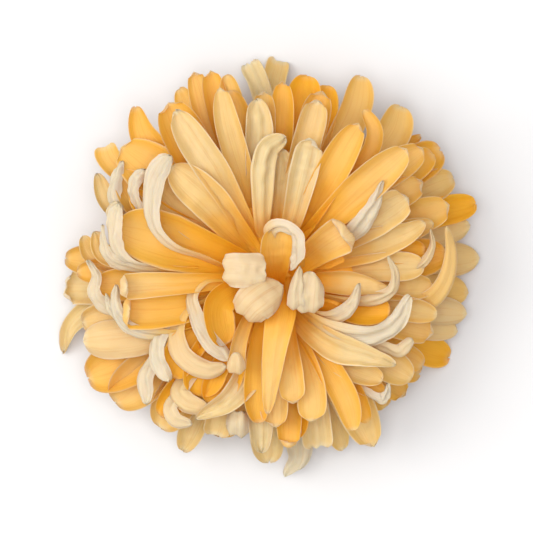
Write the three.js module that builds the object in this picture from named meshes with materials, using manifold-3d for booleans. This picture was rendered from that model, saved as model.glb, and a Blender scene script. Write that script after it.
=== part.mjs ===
// Cut chrysanthemum bloom lying face up on its lowest petals. Millimetres, +Z up.
// The origin is on the surface below the middle of the bloom, +Y is the top edge of the photograph.
import * as THREE from "three";
import { mergeVertices } from "three/addons/utils/BufferGeometryUtils.js";
import Module from "manifold-3d";

const wasm = await Module();
wasm.setup();

// Driving sizes
const petalThickness = 1.1; // along the midrib of a ray floret
const heartX = 2; // the flower's own axis stands a little off the middle of its outline
const heartY = -3;
const coreBottom = 12.8;
// receptacle and the crowded petal bases on it, as one body: radius and height from the axis back to it
const coreProfile = [
  [0, coreBottom], [16, coreBottom], [26, 14.6], [31, 18.5],
  [30, 25], [23, 31], [13, 35], [0, 36.5],
];
const rootRadius = 7; // every petal starts this far inside the receptacle
const cupBottom = 4.8; // green involucre under the receptacle
const cupTop = 12.5;
const cupRadius = 12.6;
const bractThickness = 0.9;
// rows of bracts from the stem outwards: count, first heading, start and end along the cup, width, and
// how far the tip spreads
const bractRows = [
  [8, 10, 0.14, 0.72, 5.4, 1.2],
  [10, 28, 0.42, 0.92, 5.6, 1.4],
  [12, 5, 0.64, 0.99, 5.4, 1.6],
];
const stemRadius = 3.3; // stub left by the cut
const stemBottom = 0.5;
const stemTop = 4.5;
const stemRibs = 6;
const ribDepth = 0.25;

// Petals that the photograph shows, from base to tip.
// name, width, cup in degrees, roll at base and tip, tip (see tips), radius and degrees of its curl or 0,
// outward heading in degrees where the path doesn't give it, points on the midrib
const heartPetals = [
  ["c1", 11.5, 22, 0, 0, 2, 0, null,
    [[3, -5, 28], [2.2, -1, 34.4], [2, 4, 40], [2.2, 8.6, 43.6], [3, 12.8, 45.2]]],
  ["c1b", 6.2, 4, 180, 180, 0, 0, null,
    [[2.6, 1, 33], [2.2, 5, 38], [1.2, 8.6, 42.4], [0.8, 11.4, 45.6], [2.6, 12.8, 47.4],
      [5.2, 12.6, 48], [7.8, 10.8, 48], [8.8, 7, 47.2], [8, 3.2, 45], [6.8, 0, 43]]],
  ["c2", 11, 5, 0, 0, 3, 0, 180,
    [[0, -2, 27], [-7, -0.5, 36.5], [-12.6, -0.5, 42.6], [-13.8, -0.6, 46.2], [-10.8, -0.6, 48.6],
      [-5.6, -0.7, 48.2], [-0.8, -0.6, 46.6]]],
  ["c3", 13.5, 14, 0, 0, 0, 0, 230,
    [[1, -5, 27], [-3, -10, 35], [-7.6, -14.2, 41.5], [-7.8, -14.8, 44.5], [-5.2, -11.6, 49],
      [-1, -8.4, 47.8], [4.4, -5.2, 43.8]]],
  ["c4a", 7.5, 12, 0, 0, 1, 0, 275,
    [[6, -3, 27], [8, -8.5, 36], [9, -12, 41.6], [9.2, -12.6, 45], [9, -8.6, 47.8], [9.2, -4, 48.4],
      [9.8, 0.4, 46.8]]],
  ["c4b", 10.5, 16, 0, 0, 0, 0, 268,
    [[8, -3, 27], [10.2, -9, 35.6], [12, -12.8, 41.2], [12.2, -13.6, 44.8], [12.4, -10, 47],
      [12.8, -5, 47.4], [13.2, -1, 46]]],
  ["c5", 5.5, -8, -100, -130, 1, 0, null,
    [[12, -12, 31], [17, -15, 35], [22, -14.4, 38], [26, -11, 41], [27.9, -5, 43]]],
  ["c6", 12.5, 14, 0, 0, 0, [3.2, 165], 45,
    [[7, -2, 27], [12, 3, 34], [17, 7, 39.5], [21.5, 10, 42.5], [25.4, 12.4, 43.6]]],
  ["s1", 10, -14, 0, 0, 4, 0, null,
    [[4, -5, 30], [4.2, -11, 38.5], [3.2, -17, 42], [1.8, -25, 42.4], [0.8, -33, 41], [0.2, -40, 39.2],
      [-0.2, -45, 37.4]]],
];

const northPetals = [
  ["n1", 8.5, -16, 0, 0, 0, 0, null,
    [[-1.5, 9, 27], [-1.9, 16, 35], [-1.9, 24, 38.6], [-1.6, 31.4, 40], [0.2, 37.4, 40],
      [5, 40.6, 38.4]]],
  ["n2", 9.5, 13, 0, 0, 2, [2.6, 95], null,
    [[5, 9, 28], [7.6, 16, 36], [9.6, 24, 40], [11.2, 31, 41.5], [13.2, 39.4, 40.4]]],
  ["n1b", 8, 13, 0, 0, 0, 0, null, [[1.5, 9, 25], [2.4, 18, 32], [3.2, 27, 35], [4.2, 37, 35]]],
  ["n3", 9.5, 16, 0, 0, 0, 0, null,
    [[-3, 12, 22], [-3.6, 24, 30], [-3.4, 36, 34.5], [-3.2, 45, 35.5], [-4, 52.6, 34.5]]],
  ["n3b", 8.5, 19, 0, 0, 2, [2, 50], null,
    [[-2, 14, 18], [-2.4, 30, 26], [-2, 44, 30], [-1.6, 55.8, 29.5]]],
  ["n4", 9.5, 26, 0, 0, 5, [2, 50], null,
    [[-3, 12, 24], [-6, 22, 32], [-10.4, 36, 37], [-13.4, 47, 38], [-15, 56.4, 36.5]]],
  ["n4b", 13, 28, 0, 0, 0, 0, null,
    [[-2.5, 12, 20], [-6, 28, 27], [-9.6, 42, 30.5], [-12.4, 55.6, 30.5]]],
  ["n5", 9, 26, 0, 0, 0, 0, null, [[-3, 14, 18], [-6.4, 30, 25], [-10, 45, 28], [-13.2, 60.6, 26.5]]],
  ["n6", 10, 32, 0, 0, 2, [2, 50], null,
    [[-4, 13, 17], [-9, 30, 23], [-14.5, 46, 25.5], [-18.6, 62.2, 24]]],
  ["n6b", 9.5, 26, 0, 0, 0, [2, 50], null,
    [[-5, 13, 15.5], [-12.4, 30, 19], [-18.6, 46, 20.5], [-23.6, 62, 18]]],
  ["n6c", 9, 22, 0, 0, 0, 0, null, [[-6, 12, 15], [-14.6, 28, 17.5], [-22, 42, 17.5], [-28, 56.6, 14]]],
  ["n7", 11.5, 22, 0, 0, 5, [3.4, 50], null,
    [[-5, 9, 27], [-10, 18, 34], [-17, 30, 39], [-23, 39, 40.5], [-29.6, 49.6, 40]]],
  ["n8", 13, 16, 0, 0, 5, 0, null,
    [[-6, 7, 27], [-12, 13.5, 33], [-19, 21.5, 38], [-30.4, 31.6, 39.4]]],
  ["n9", 17, 30, 0, 0, 0, [2, 50], null,
    [[-6, 9, 21], [-14.6, 22, 28], [-23.4, 36, 32], [-31.8, 52, 32]]],
  ["n10", 18, 16, 0, 0, 4, 0, null,
    [[-8, 8, 18], [-21, 20.5, 24], [-32.4, 32.6, 26.5], [-39.4, 42, 26], [-41.6, 50.6, 24]]],
  ["n11", 18.5, 16, 0, 0, 5, [2, 50], null,
    [[-9, 7, 19], [-21.6, 17.8, 26], [-33.4, 28.2, 29.5], [-46.4, 38.2, 29]]],
  ["n12", 13, 16, 0, 0, 5, 0, null, [[-7, 5, 22], [-15, 10, 28.5], [-25, 17, 33], [-34.6, 27.4, 33.5]]],
  ["nt1", 7, 10, 0, 0, 3, 0, null,
    [[-1, 14, 14.5], [-1.2, 32, 15], [-1.2, 50, 13], [-3, 57.6, 10.5], [-6.2, 64.4, 7]]],
  ["nt2", 7.8, 13, 0, 0, 3, 0, null,
    [[1, 14, 14], [0.8, 32, 14.5], [1, 50, 10], [1.8, 58.6, 5.4], [3.4, 65.2, 0.55]]],
  ["nt3", 8.5, 22, 0, 0, 0, [2, 50], null, [[2, 14, 19], [3, 28, 24], [4, 44, 27], [4.4, 58.8, 25.5]]],
  ["ne3", 12.5, 19, 0, 0, 2, 0, null, [[3, 13, 17], [5.6, 28, 20], [9, 44, 21.5], [12.2, 60.4, 19]]],
  ["ne4", 10.5, 26, 0, 0, 2, [2.6, 50], null,
    [[4, 11, 24], [8, 26, 32], [11.4, 38, 35.5], [13.6, 46, 36], [15.4, 53, 35.5]]],
  ["ne4b", 11, 24, 0, 0, 2, [2, 50], null,
    [[4, 12, 20], [9, 28, 28], [12.8, 42, 31.4], [16.6, 55.6, 31]]],
  ["ne1", 11, 22, 0, 0, 2, 0, null,
    [[5, 12, 17], [14, 27, 20.5], [23.4, 42, 20.5], [27.4, 51, 19], [29, 60.4, 17]]],
  ["ne6", 11.5, 19, 0, 0, 0, 0, null, [[4, 12, 16], [10, 30, 19], [15, 44, 20], [18.6, 57.4, 17.5]]],
  ["ne2", 13, 22, 0, 0, 2, 0, null,
    [[7, 11, 17], [20, 24, 20.5], [33, 36, 20], [38.8, 43, 18.5], [41.2, 51, 16.5]]],
  ["ne7", 9.5, 19, 0, 0, 1, 0, null,
    [[8, 10, 15], [22, 22.6, 17.5], [35, 33.6, 16.5], [47.6, 41.6, 12]]],
  ["ne5", 6.5, 26, 0, 0, 0, 0, null,
    [[6, 10, 22], [16, 20, 27], [25, 29, 30.5], [31.5, 36.5, 32], [33, 43, 32.5], [29.6, 49.6, 32.5]]],
];

const eastPetals = [
  ["e4", 12, 26, 0, 0, 5, [2, 50], null,
    [[8, 9, 27], [13, 18, 34], [19, 29, 39], [24, 38, 41], [28.4, 45.2, 41]]],
  ["e4b", 9.5, 16, 0, 0, 0, 0, null, [[6, 5, 26], [10.6, 13, 32], [15.6, 22, 35], [20, 32, 36]]],
  ["e3", 12.5, 22, 0, 0, 5, [2.2, 50], null,
    [[9, 6, 27], [16, 13, 34], [25, 21.5, 39], [34, 29.5, 41], [43.4, 37.4, 41]]],
  ["e3b", 12, 22, 0, 0, 0, [2, 50], null, [[8, 7, 22], [20, 17, 28], [33, 28, 31.5], [48.6, 37.6, 31]]],
  ["e3c", 12, 19, 0, 0, 0, 0, null, [[8, 7, 16], [22, 17, 20], [36, 27, 20.5], [51.6, 36, 17]]],
  ["e2", 7, -8, -135, -145, 1, 0, null,
    [[18, 6, 33.5], [26, 11, 40], [30.6, 16, 43], [33.6, 21.6, 43.6], [35.4, 27.2, 42.4]]],
  ["e5", 12, 19, 0, 0, 2, [2, 50], null,
    [[11, 3, 26], [20, 8, 32], [31, 14, 36.5], [38, 18.6, 37.5], [43.6, 22.4, 37.4]]],
  ["e5b", 11.5, 26, 0, 0, 0, [2, 50], null, [[10, 6, 22], [22, 13, 28], [35, 21, 31], [48.4, 27, 30]]],
  ["e6", 12.5, 19, 0, 0, 1, 0, null,
    [[12, 1, 25], [24, 5, 31], [36, 8.6, 34.5], [43, 11, 35.2], [48.6, 14.4, 34.6]]],
  ["e6r", 4.2, 12, -120, -140, 1, 0, null,
    [[19, -2, 21], [34, -2.4, 26], [44, -1, 31], [49, 2, 34], [51.4, 7, 35.5], [50.4, 12.4, 36]]],
  ["e7", 8.5, 16, 0, 0, 0, 0, null, [[12, -1, 23], [26, 2, 27.4], [38, 5, 30.2], [48.8, 6, 29.4]]],
  ["e8", 10, 16, 0, 0, 0, 0, null, [[12, -2, 24], [26, 0, 29.4], [38, 0.6, 32.4], [48.6, 0.8, 33]]],
  ["e9", 10.5, 22, 0, 0, 5, [2, 50], null,
    [[12, -4, 20], [26, -4, 25], [40, -5.4, 27.5], [52.2, -6, 27]]],
  ["e10", 11, 38, 0, 0, 1, 0, null,
    [[11, -4, 27], [19, -4.4, 33.4], [28, -5, 36.4], [37.8, -6.6, 37.6]]],
  ["e10r", 5, -6, -110, -140, 1, 0, null,
    [[16, -8, 31], [24, -10, 35], [32, -10.4, 37.5], [38.4, -7.4, 39], [39.6, -2, 40.4],
      [37, 3.8, 41]]],
  ["e13", 14, 22, 0, 0, 0, 0, null, [[13, -2, 18], [28, 0, 22], [42, 2.4, 24], [55.6, 4.6, 24.6]]],
  ["e13r", 7.6, -6, -110, -140, 1, 0, null,
    [[20, -9, 17], [34, -12, 20], [45.2, -12, 24.2], [52, -9, 28], [55.8, -3, 29.5], [57, 5, 30.5],
      [55.6, 13.2, 31]]],
  ["e14", 12.5, 22, 0, 0, 0, [2.2, 50], null,
    [[11, 3, 18], [26, 9, 22], [40, 14, 24.5], [57, 19.8, 25]]],
  ["e14b", 8, 22, 0, 0, 0, 0, null, [[12, 2, 20], [28, 7, 25], [40, 11, 28.4], [51.6, 14, 30.4]]],
  ["e15", 10, 16, 0, 0, 2, 0, null, [[13, 5, 15], [30, 10.5, 16.5], [46, 15.8, 14], [65.2, 20.4, 8.5]]],
  ["e15b", 12, 12, 180, 180, 0, 0, null,
    [[14, 0, 14.5], [32, 1, 14.5], [48, 2.2, 11], [66.6, 3.4, 5.4]]],
  ["e15c", 10.5, 12, 180, 180, 0, 0, null,
    [[13, 2, 15], [30, 6, 16.5], [46, 10, 14.5], [63.4, 13.4, 9.5]]],
  ["e15e", 12, 19, 0, 0, 0, 0, null,
    [[12, 5, 14.5], [29, 14.4, 17], [43.6, 22.4, 15.5], [58, 28.4, 10.6]]],
  ["e15d", 13.5, 19, 0, 0, 2, 0, null,
    [[10, 7, 14.5], [26, 17.6, 17], [40, 28.4, 16.5], [54, 37.2, 12]]],
  ["e16", 8.5, 16, 0, 0, 0, 0, null, [[13, -6, 19], [27, -9, 24], [40, -12, 27], [52.6, -14.6, 26]]],
  ["e17", 10.5, 19, 0, 0, 2, [2.6, 50], null,
    [[12, -7, 17], [27, -12, 21.5], [40, -17, 24], [52, -20.4, 23.4]]],
  ["e18", 12, 12, 180, 180, 0, 0, null,
    [[13, -3, 14.5], [30, -5, 15], [45, -6.4, 12], [63, -7.4, 6.5]]],
  ["e19", 11, 12, 180, 180, 0, 0, null,
    [[13, -5, 15], [28, -9, 17], [43, -12.6, 15], [62.4, -14.4, 10]]],
  ["e20", 9.5, 12, 180, 180, 0, 0, null,
    [[12, -6, 14.5], [28, -12, 16], [43, -16.6, 13.5], [59.6, -19.8, 8.4]]],
];

const southEastPetals = [
  ["se1", 9.5, -8, -110, -140, 1, 0, null,
    [[10, -12, 31], [16, -17, 34.5], [24, -20.6, 37], [32, -21, 39], [39, -17.4, 40.5],
      [44, -8.6, 41.4]]],
  ["se1f", 11.5, 19, 0, 0, 0, 0, null, [[10, -9, 25], [20, -11, 30], [30, -13, 33], [38, -13.4, 35]]],
  ["se2", 10.5, 13, 0, 0, 1, 0, null,
    [[8, -14, 27], [14, -20.5, 33], [22, -25.4, 36.4], [30, -27.6, 38], [39.2, -30, 37.4]]],
  ["se3", 8.5, 16, 0, 0, 0, 0, null, [[8, -15, 24], [15, -23, 29], [23, -30, 32.5], [35.6, -35, 33]]],
  ["se4", 5, 12, -90, -130, 0, 0, null,
    [[15, -13, 25], [26, -19, 30], [35, -24.4, 32.4], [41, -26.4, 33.6], [45, -22.4, 35]]],
  ["se5", 3.6, 10, -100, -120, 0, 0, null,
    [[20, -30, 28], [27, -36, 31], [32, -40, 32.5], [35.6, -41.2, 33.4], [37.4, -38.4, 34],
      [37.2, -36, 34.5]]],
  ["se5f", 8.5, 19, 0, 0, 0, 0, null, [[8, -14, 20], [18, -26, 26], [27, -34, 29.4], [36, -39.6, 30]]],
  ["se6", 12.5, 22, 0, 0, 0, 0, null, [[11, -12, 19], [23, -20, 24], [34, -28, 27], [44.8, -34.4, 27]]],
  ["se7", 11, 16, 0, 0, 0, 0, null, [[11, -8, 15], [26, -15, 17], [41, -22, 13], [56.5, -28, 0.55]]],
  ["se7b", 10.5, 16, 0, 0, 0, [2, 50], null,
    [[9, -10, 15], [21, -20, 17.4], [32, -30, 15], [43, -40.4, 11]]],
  ["se7c", 10.5, 19, 0, 0, 0, 0, null,
    [[10, -9, 16], [23, -17, 20.4], [35.4, -24.6, 20.4], [48.2, -30.4, 17]]],
  ["se7e", 11, 16, 0, 0, 0, 0, null,
    [[7, -11, 14.5], [17.6, -23.4, 16.5], [27.4, -33.6, 14], [37, -43.4, 9.4]]],
  ["se7d", 11, 16, 0, 0, 2, 0, null,
    [[9, -9, 14.5], [23, -18.6, 17], [35, -26, 15], [47.4, -33.2, 10]]],
];

const southPetals = [
  ["s2", 8.5, 19, 0, 0, 0, 0, null,
    [[1, -9, 24], [-2.5, -20, 31], [-4, -32, 34], [-4, -41, 33.4], [-3, -48, 32.4]]],
  ["s3", 10, 19, 0, 0, 2, [2.6, 50], null,
    [[3, -10, 20], [2.4, -24, 28], [2.2, -38, 32], [2, -50, 32]]],
  ["s4", 9, 16, 0, 0, 2, [3.4, 50], null,
    [[5, -12, 26], [5.8, -22, 33], [6.8, -32, 36.2], [8, -42.8, 36.6]]],
  ["s5", 10, 16, 0, 0, 2, [3.4, 50], null,
    [[6, -12, 24], [8.5, -22, 30], [12, -32, 34], [13.6, -40, 35.2], [13.4, -48.6, 35]]],
  ["s6", 9.5, 22, 0, 0, 5, 0, null,
    [[7, -13, 24], [12.5, -22, 30], [19, -32, 34], [24, -41, 35], [26.4, -50.4, 33.4]]],
  ["s7", 9, 19, 0, 0, 5, 0, null, [[8, -13, 22], [16, -25, 27.4], [24.4, -37, 30.6], [31, -48, 30]]],
  ["s8", 13.5, 19, 0, 0, 5, [3, 50], null,
    [[7, -12, 16], [15.8, -26, 20], [25.2, -40, 20.4], [33, -56.2, 18]]],
  ["s9", 10.5, 16, 0, 0, 3, 0, null,
    [[5, -13, 16.5], [9.6, -28, 21.4], [13.6, -42, 22.4], [15.6, -56, 20.6]]],
  ["s9b", 8.5, 16, 0, 0, 0, 0, null,
    [[6, -12, 14.5], [13, -28, 16], [18.6, -43, 14], [23.4, -57, 9.5]]],
  ["s10", 14, 22, 180, 180, 1, 0, null,
    [[4, -13, 15], [6.4, -30, 15.5], [8.8, -45, 13], [9.8, -55, 10.5], [9.4, -60.8, 8.5],
      [5, -65.6, 6]]],
  ["s11", 12.5, 26, 0, 0, 2, 0, null,
    [[1, -12, 15.5], [-0.8, -28, 18], [-1.4, -42, 18.4], [0.2, -60.8, 14.8]]],
  ["s12", 9.5, 26, 0, 0, 5, [2.2, 150], null,
    [[3, -12, 18], [5, -28, 23.4], [6.2, -42, 25.4], [6.4, -56, 27.4]]],
  ["s12b", 10, 32, 0, 0, 0, 0, null,
    [[0, -11, 19], [-2.2, -26, 24.6], [-2.8, -42, 26.4], [-2.4, -57.6, 26]]],
  ["s13", 11, 16, 0, 0, 0, 0, null,
    [[4, -12, 19], [6.2, -28, 22.4], [7.4, -42, 24.4], [8, -53.4, 23.4]]],
];

const southWestPetals = [
  ["sw1", 20, 30, 0, 0, 0, 0, null,
    [[-7, -10, 16], [-22, -17, 20], [-36.6, -25.4, 19.6], [-47, -30.4, 17], [-56.6, -34.4, 14.6]]],
  ["sw2", 19, 28, 0, 0, 0, 0, null,
    [[-6, -11, 15.5], [-20, -20, 19], [-33.4, -29.8, 19], [-48.2, -42, 16]]],
  ["sw3", 6.6, -6, -110, -140, 0, 0, null,
    [[-14, -13, 22], [-25, -19.6, 26], [-34, -26, 28.4], [-38.4, -33, 29.6], [-38.4, -42.4, 30]]],
  ["sw4", 6, -6, -120, -150, 0, 0, null,
    [[-16, -11, 29], [-25, -13.6, 32.4], [-31.6, -17.6, 34], [-34.8, -23, 35], [-34.6, -29, 35.6],
      [-31, -35, 35.4]]],
  ["sw5", 6.6, -6, -120, -150, 0, 0, null,
    [[-14, -7, 32], [-22, -10, 34.4], [-27.4, -14.4, 35.4], [-29.2, -20.4, 36], [-27.6, -26.4, 36.8],
      [-23.6, -30.2, 37.4], [-18.4, -31.8, 37.8], [-13.2, -30.4, 38]]],
  ["sw5f", 12, 16, 0, 0, 0, 0, null,
    [[-6, -8, 26], [-14, -13, 30.5], [-21.6, -19.4, 32.6], [-27, -26, 33], [-30, -34, 32]]],
  ["sw6b", 11, 19, 0, 0, 0, 0, null,
    [[-3, -8, 24], [-8.6, -14, 30], [-14.6, -20, 32.5], [-20.4, -26, 32]]],
  ["sw5g", 15, 19, 0, 0, 0, 0, null,
    [[-6, -9, 24], [-13, -18, 30], [-18.8, -28, 32], [-22, -39.8, 31]]],
  ["sw6", 12.5, 19, 0, 0, 0, 0, null,
    [[-4, -6, 28], [-11.6, -7, 35], [-16.4, -11.4, 38], [-16.4, -18, 39], [-14, -24, 38]]],
  ["sw6r", 6, -6, -110, -140, 0, 0, null,
    [[-12, -3.6, 33], [-20, -3.4, 36], [-24, -8, 37.4], [-22.6, -15, 38.5], [-18.5, -22.5, 39.5],
      [-12.4, -28.4, 39]]],
  ["sw7", 6.4, 19, 0, 0, 0, 0, 250,
    [[-3, -10, 27], [-7, -17, 34], [-9.6, -24, 38], [-10.4, -30, 40.4], [-10.4, -32.6, 43.4],
      [-10.2, -29.4, 46], [-10.2, -26, 46.6]]],
  ["sw8", 7.4, -5, -110, -140, 0, 0, null,
    [[-12, -14, 24], [-19, -25, 28.6], [-25.4, -33, 30.6], [-28.4, -38.6, 32], [-25.4, -42, 33],
      [-19, -43.6, 33.6]]],
  ["sw8b", 6.2, -6, -110, -140, 0, 0, null,
    [[-10, -15, 22], [-19, -27, 27], [-27, -38, 29], [-31.4, -43.6, 30.4], [-29, -47.6, 31.4],
      [-24, -48.4, 32]]],
  ["sw8f", 10.5, 19, 0, 0, 0, 0, null,
    [[-9, -13, 19], [-18, -25, 24.6], [-26, -36, 26.4], [-34, -46, 24.6]]],
  ["sw9", 17, 29, 0, 0, 0, 0, null,
    [[-6, -12, 15.5], [-16, -25, 19], [-26, -37, 18.6], [-34, -50, 16]]],
  ["sw10", 9.5, 22, 0, 0, 0, 0, null,
    [[-5, -12, 15], [-13, -27, 17], [-20.4, -42, 15], [-27, -57.4, 10]]],
  ["sw11", 9.8, 13, 0, 0, 1, 0, null,
    [[0, -10, 20], [-2.4, -22, 27], [-6.2, -33.4, 32], [-12.4, -41.4, 34.4], [-22.6, -46.8, 35]]],
  ["sw12", 8.2, 19, 0, 0, 3, 0, null,
    [[-2, -11, 19], [-5.4, -25, 24.6], [-8.6, -40, 26.4], [-10, -50.4, 26.8], [-10.2, -52.4, 29.5],
      [-10, -49, 32.6], [-9.8, -44.4, 32]]],
  ["sw13", 9.5, 19, 0, 0, 3, 0, null,
    [[-3, -12, 17], [-9, -26, 21.6], [-13.4, -39, 23], [-16.8, -52.4, 22]]],
  ["sw14", 12.5, 19, 0, 0, 0, 0, null,
    [[-3, -10, 24], [-8, -21, 30], [-12.8, -31, 31.6], [-18, -42.4, 30]]],
];

const westPetals = [
  ["w1", 7.5, -9, 100, 135, 2, 0, null,
    [[-14, 1, 33], [-21.5, 4, 36], [-30, 7, 38.5], [-35.2, 12, 40], [-36.8, 18, 41], [-36.4, 24, 41.5],
      [-34.6, 30, 41.5], [-30.6, 35.4, 41]]],
  ["w2", 5, 12, 100, 130, 2, 0, null,
    [[-24, 9, 29], [-33, 12, 32], [-39.6, 17, 34], [-42.6, 23, 35], [-41.6, 28.6, 36],
      [-38.6, 30.8, 36.4]]],
  ["w2f", 10.5, 19, 0, 0, 5, 0, null, [[-9, 4, 22], [-22, 10, 29], [-34, 16, 32.4], [-43, 24, 33]]],
  ["w3", 6, 12, 90, 125, 1, 0, null,
    [[-30, 12, 27], [-42, 15.4, 29.4], [-48.6, 20.6, 31], [-48.6, 27, 32], [-46, 33.6, 32]]],
  ["w3f", 15, 22, 0, 0, 5, 0, null, [[-9, 5, 20], [-24, 11, 26], [-37, 19, 29], [-46.6, 30, 29.4]]],
  ["w4", 7.5, 24, 0, 10, 0, 0, null,
    [[-8, 4, 16], [-24, 9.5, 20], [-39.8, 15, 22], [-50, 20.4, 23], [-54, 29.6, 23]]],
  ["w5", 8.5, 19, 0, 0, 3, 0, null,
    [[-8, 6, 15.5], [-22, 14, 19], [-38, 25, 20], [-49.4, 34, 18], [-51.2, 38.4, 16.6]]],
  ["w6", 6.2, -6, 90, 120, 2, 0, null,
    [[-32, 8, 27.6], [-41, 10, 30], [-47, 13.4, 32], [-49, 17, 33.4], [-46.6, 20.6, 34]]],
  ["w7", 19.5, 22, 0, 0, 5, 0, null,
    [[-6, 0.6, 26], [-16, 3.6, 31.4], [-27, 7.2, 34], [-37, 10.4, 35], [-47.4, 13, 35]]],
  ["w7r", 6.2, -8, 90, 130, 2, 0, null,
    [[-22, 0.4, 34], [-32, 0.8, 35.5], [-40, 1.4, 37], [-46.2, 4.4, 38.5], [-48.4, 10, 39.5],
      [-48, 15, 40], [-47, 20, 40]]],
  ["w8a", 6.5, -6, 90, 130, 1, 0, null,
    [[-22, -1.4, 32.4], [-34, -0.6, 34], [-43, 0, 35.4], [-49.4, 3, 36.6], [-51.6, 8, 37.4],
      [-51.8, 13.4, 37.6]]],
  ["w8b", 6.5, 19, 0, 12, 2, 0, null,
    [[-10, 2, 18], [-28, 1.6, 23], [-43, 2, 26], [-52, 4.6, 27.4], [-54.6, 11.6, 28]]],
  ["w8c", 7.5, 19, 0, 8, 2, 0, null,
    [[-9, 2, 16.4], [-27, 1, 20], [-43, 1, 22], [-55, 4, 22.4], [-58.4, 10.2, 23]]],
  ["w9", 12, 26, 0, 0, 0, 0, null,
    [[-8, 0, 15], [-26, 0.8, 16], [-44, 2.2, 13.6], [-58, 2.8, 9.6], [-63.8, 3.2, 8]]],
  ["w10", 11, 19, 0, 0, 5, 0, null, [[-8, 0, 17], [-25, -0.5, 21.4], [-42, -0.6, 23.4], [-60, -1, 21]]],
  ["w11", 11.5, 19, 0, 0, 3, [2.4, 120], null,
    [[-9, -3, 14.5], [-26, -4.5, 15.5], [-44, -6, 12.6], [-63.4, -6, 8]]],
  ["w12", 6, -6, 100, 150, 1, 0, null,
    [[-30, -15, 24], [-42, -14.4, 26], [-50.6, -12.4, 27.6], [-54.6, -7.6, 28.6], [-54, -2.4, 29.4],
      [-56.6, 2.4, 29.6]]],
  ["w12f", 11.5, 19, 0, 0, 0, 0, null, [[-9, -2, 18], [-25, -4, 23], [-40, -4.8, 26], [-54.4, -5, 26]]],
  ["w13a", 9, 19, 0, 0, 2, [3.6, 165], 180,
    [[-5, -3, 28], [-15, -4, 34.4], [-26, -4.6, 38], [-36, -5, 39], [-46.4, -5.8, 39]]],
  ["w13b", 12, 16, 0, 0, 2, [3, 165], 180,
    [[-7, -8, 25], [-17, -10.5, 31.4], [-29, -13, 35], [-38, -13.8, 36.2], [-45.6, -13.6, 36.6]]],
  ["w13r", 6.6, -8, 100, 155, 1, 0, null,
    [[-20, -17.4, 33], [-31, -20.4, 34.6], [-40, -20, 35.8], [-45.8, -16.2, 37], [-48, -11, 37.8],
      [-47.6, -5, 38]]],
  ["w13s", 4.6, 12, 90, 150, 1, 0, null,
    [[-34, -19.6, 34], [-44, -18, 35], [-49.4, -13, 36], [-50.8, -8, 36.4]]],
  ["w14", 13.5, 16, 180, 180, 2, 0, null,
    [[-10, -8, 19], [-24, -14.6, 24], [-36, -20, 27], [-47, -22, 27.4], [-58, -22.6, 26]]],
  ["w15", 11, 22, 0, 0, 1, 0, null,
    [[-9, -5, 15], [-26, -8, 15.5], [-43, -9.5, 12], [-55.4, -13, 7.6], [-61.6, -18, 4.6],
      [-64.6, -26.4, 0.55]]],
  ["w16", 11.5, 19, 0, 0, 2, 0, null,
    [[-9, -5, 17], [-25, -9, 20], [-40, -13.4, 20.4], [-58.6, -16.8, 17]]],
];
const shownPetals = [
  ...heartPetals, ...northPetals, ...eastPetals, ...southEastPetals,
  ...southPetals, ...southWestPetals, ...westPetals,
];

// Rings of petals under those shown: count, first heading, reach, width, heights from base to tip
const rings = [
  [10, 4, 52, 12.5, [14.3, 13.6, 9.6, 4.4]],
  [9, 14, 51, 12, [16.2, 17, 14.6, 9.6]],
  [8, 3, 48, 12, [18.4, 21, 21.4, 18.6]],
  [5, 12, 38, 11, [21.4, 26, 28, 27]],
];

// Kinds of tip, round, pointed, blunt, square, long and spoon: widest from, narrower from, width at the end
const tips = [
  [0.72, 0.84, 0.42],
  [0.62, 0.55, 0.12],
  [0.72, 0.88, 0.5],
  [0.72, 0.94, 0.75],
  [0.3, 0.3, 0.12],
  [0.62, 0.74, 0.36],
];

// Repeatable draw between 0 and 1
function draw(k) {
  const v = Math.sin(k * 12.9898 + 78.233) * 43758.5453;
  return v - Math.floor(v);
}

// One ring of petals spread by rule, each with its own small turn, sway and reach
function ringPetals(ring, ringIndex) {
  const [count, first, reach, width, heights] = ring;
  const rows = [];
  for (let i = 0; i < count; i += 1) {
    const k = ringIndex * 40 + i + 1;
    const az = ((first + (i * 360) / count + (draw(k) - 0.5) * 9) * Math.PI) / 180;
    const far = reach * (0.94 + 0.12 * draw(k + 300));
    const sway = (draw(k + 600) - 0.5) * 7;
    const lift = (draw(k + 900) - 0.5) * 1.6;
    const points = [0.24, 0.46, 0.74, 1].map((f, j) => [
      heartX * (1 - f) + Math.cos(az) * far * f - Math.sin(az) * sway * f * f,
      heartY * (1 - f) + Math.sin(az) * far * f + Math.cos(az) * sway * f * f,
      heights[j] + lift * f,
    ]);
    rows.push([`ring${ringIndex}_${i}`, width, 18, 0, 0, 0, 0, null, points]);
  }
  return rows;
}

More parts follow.
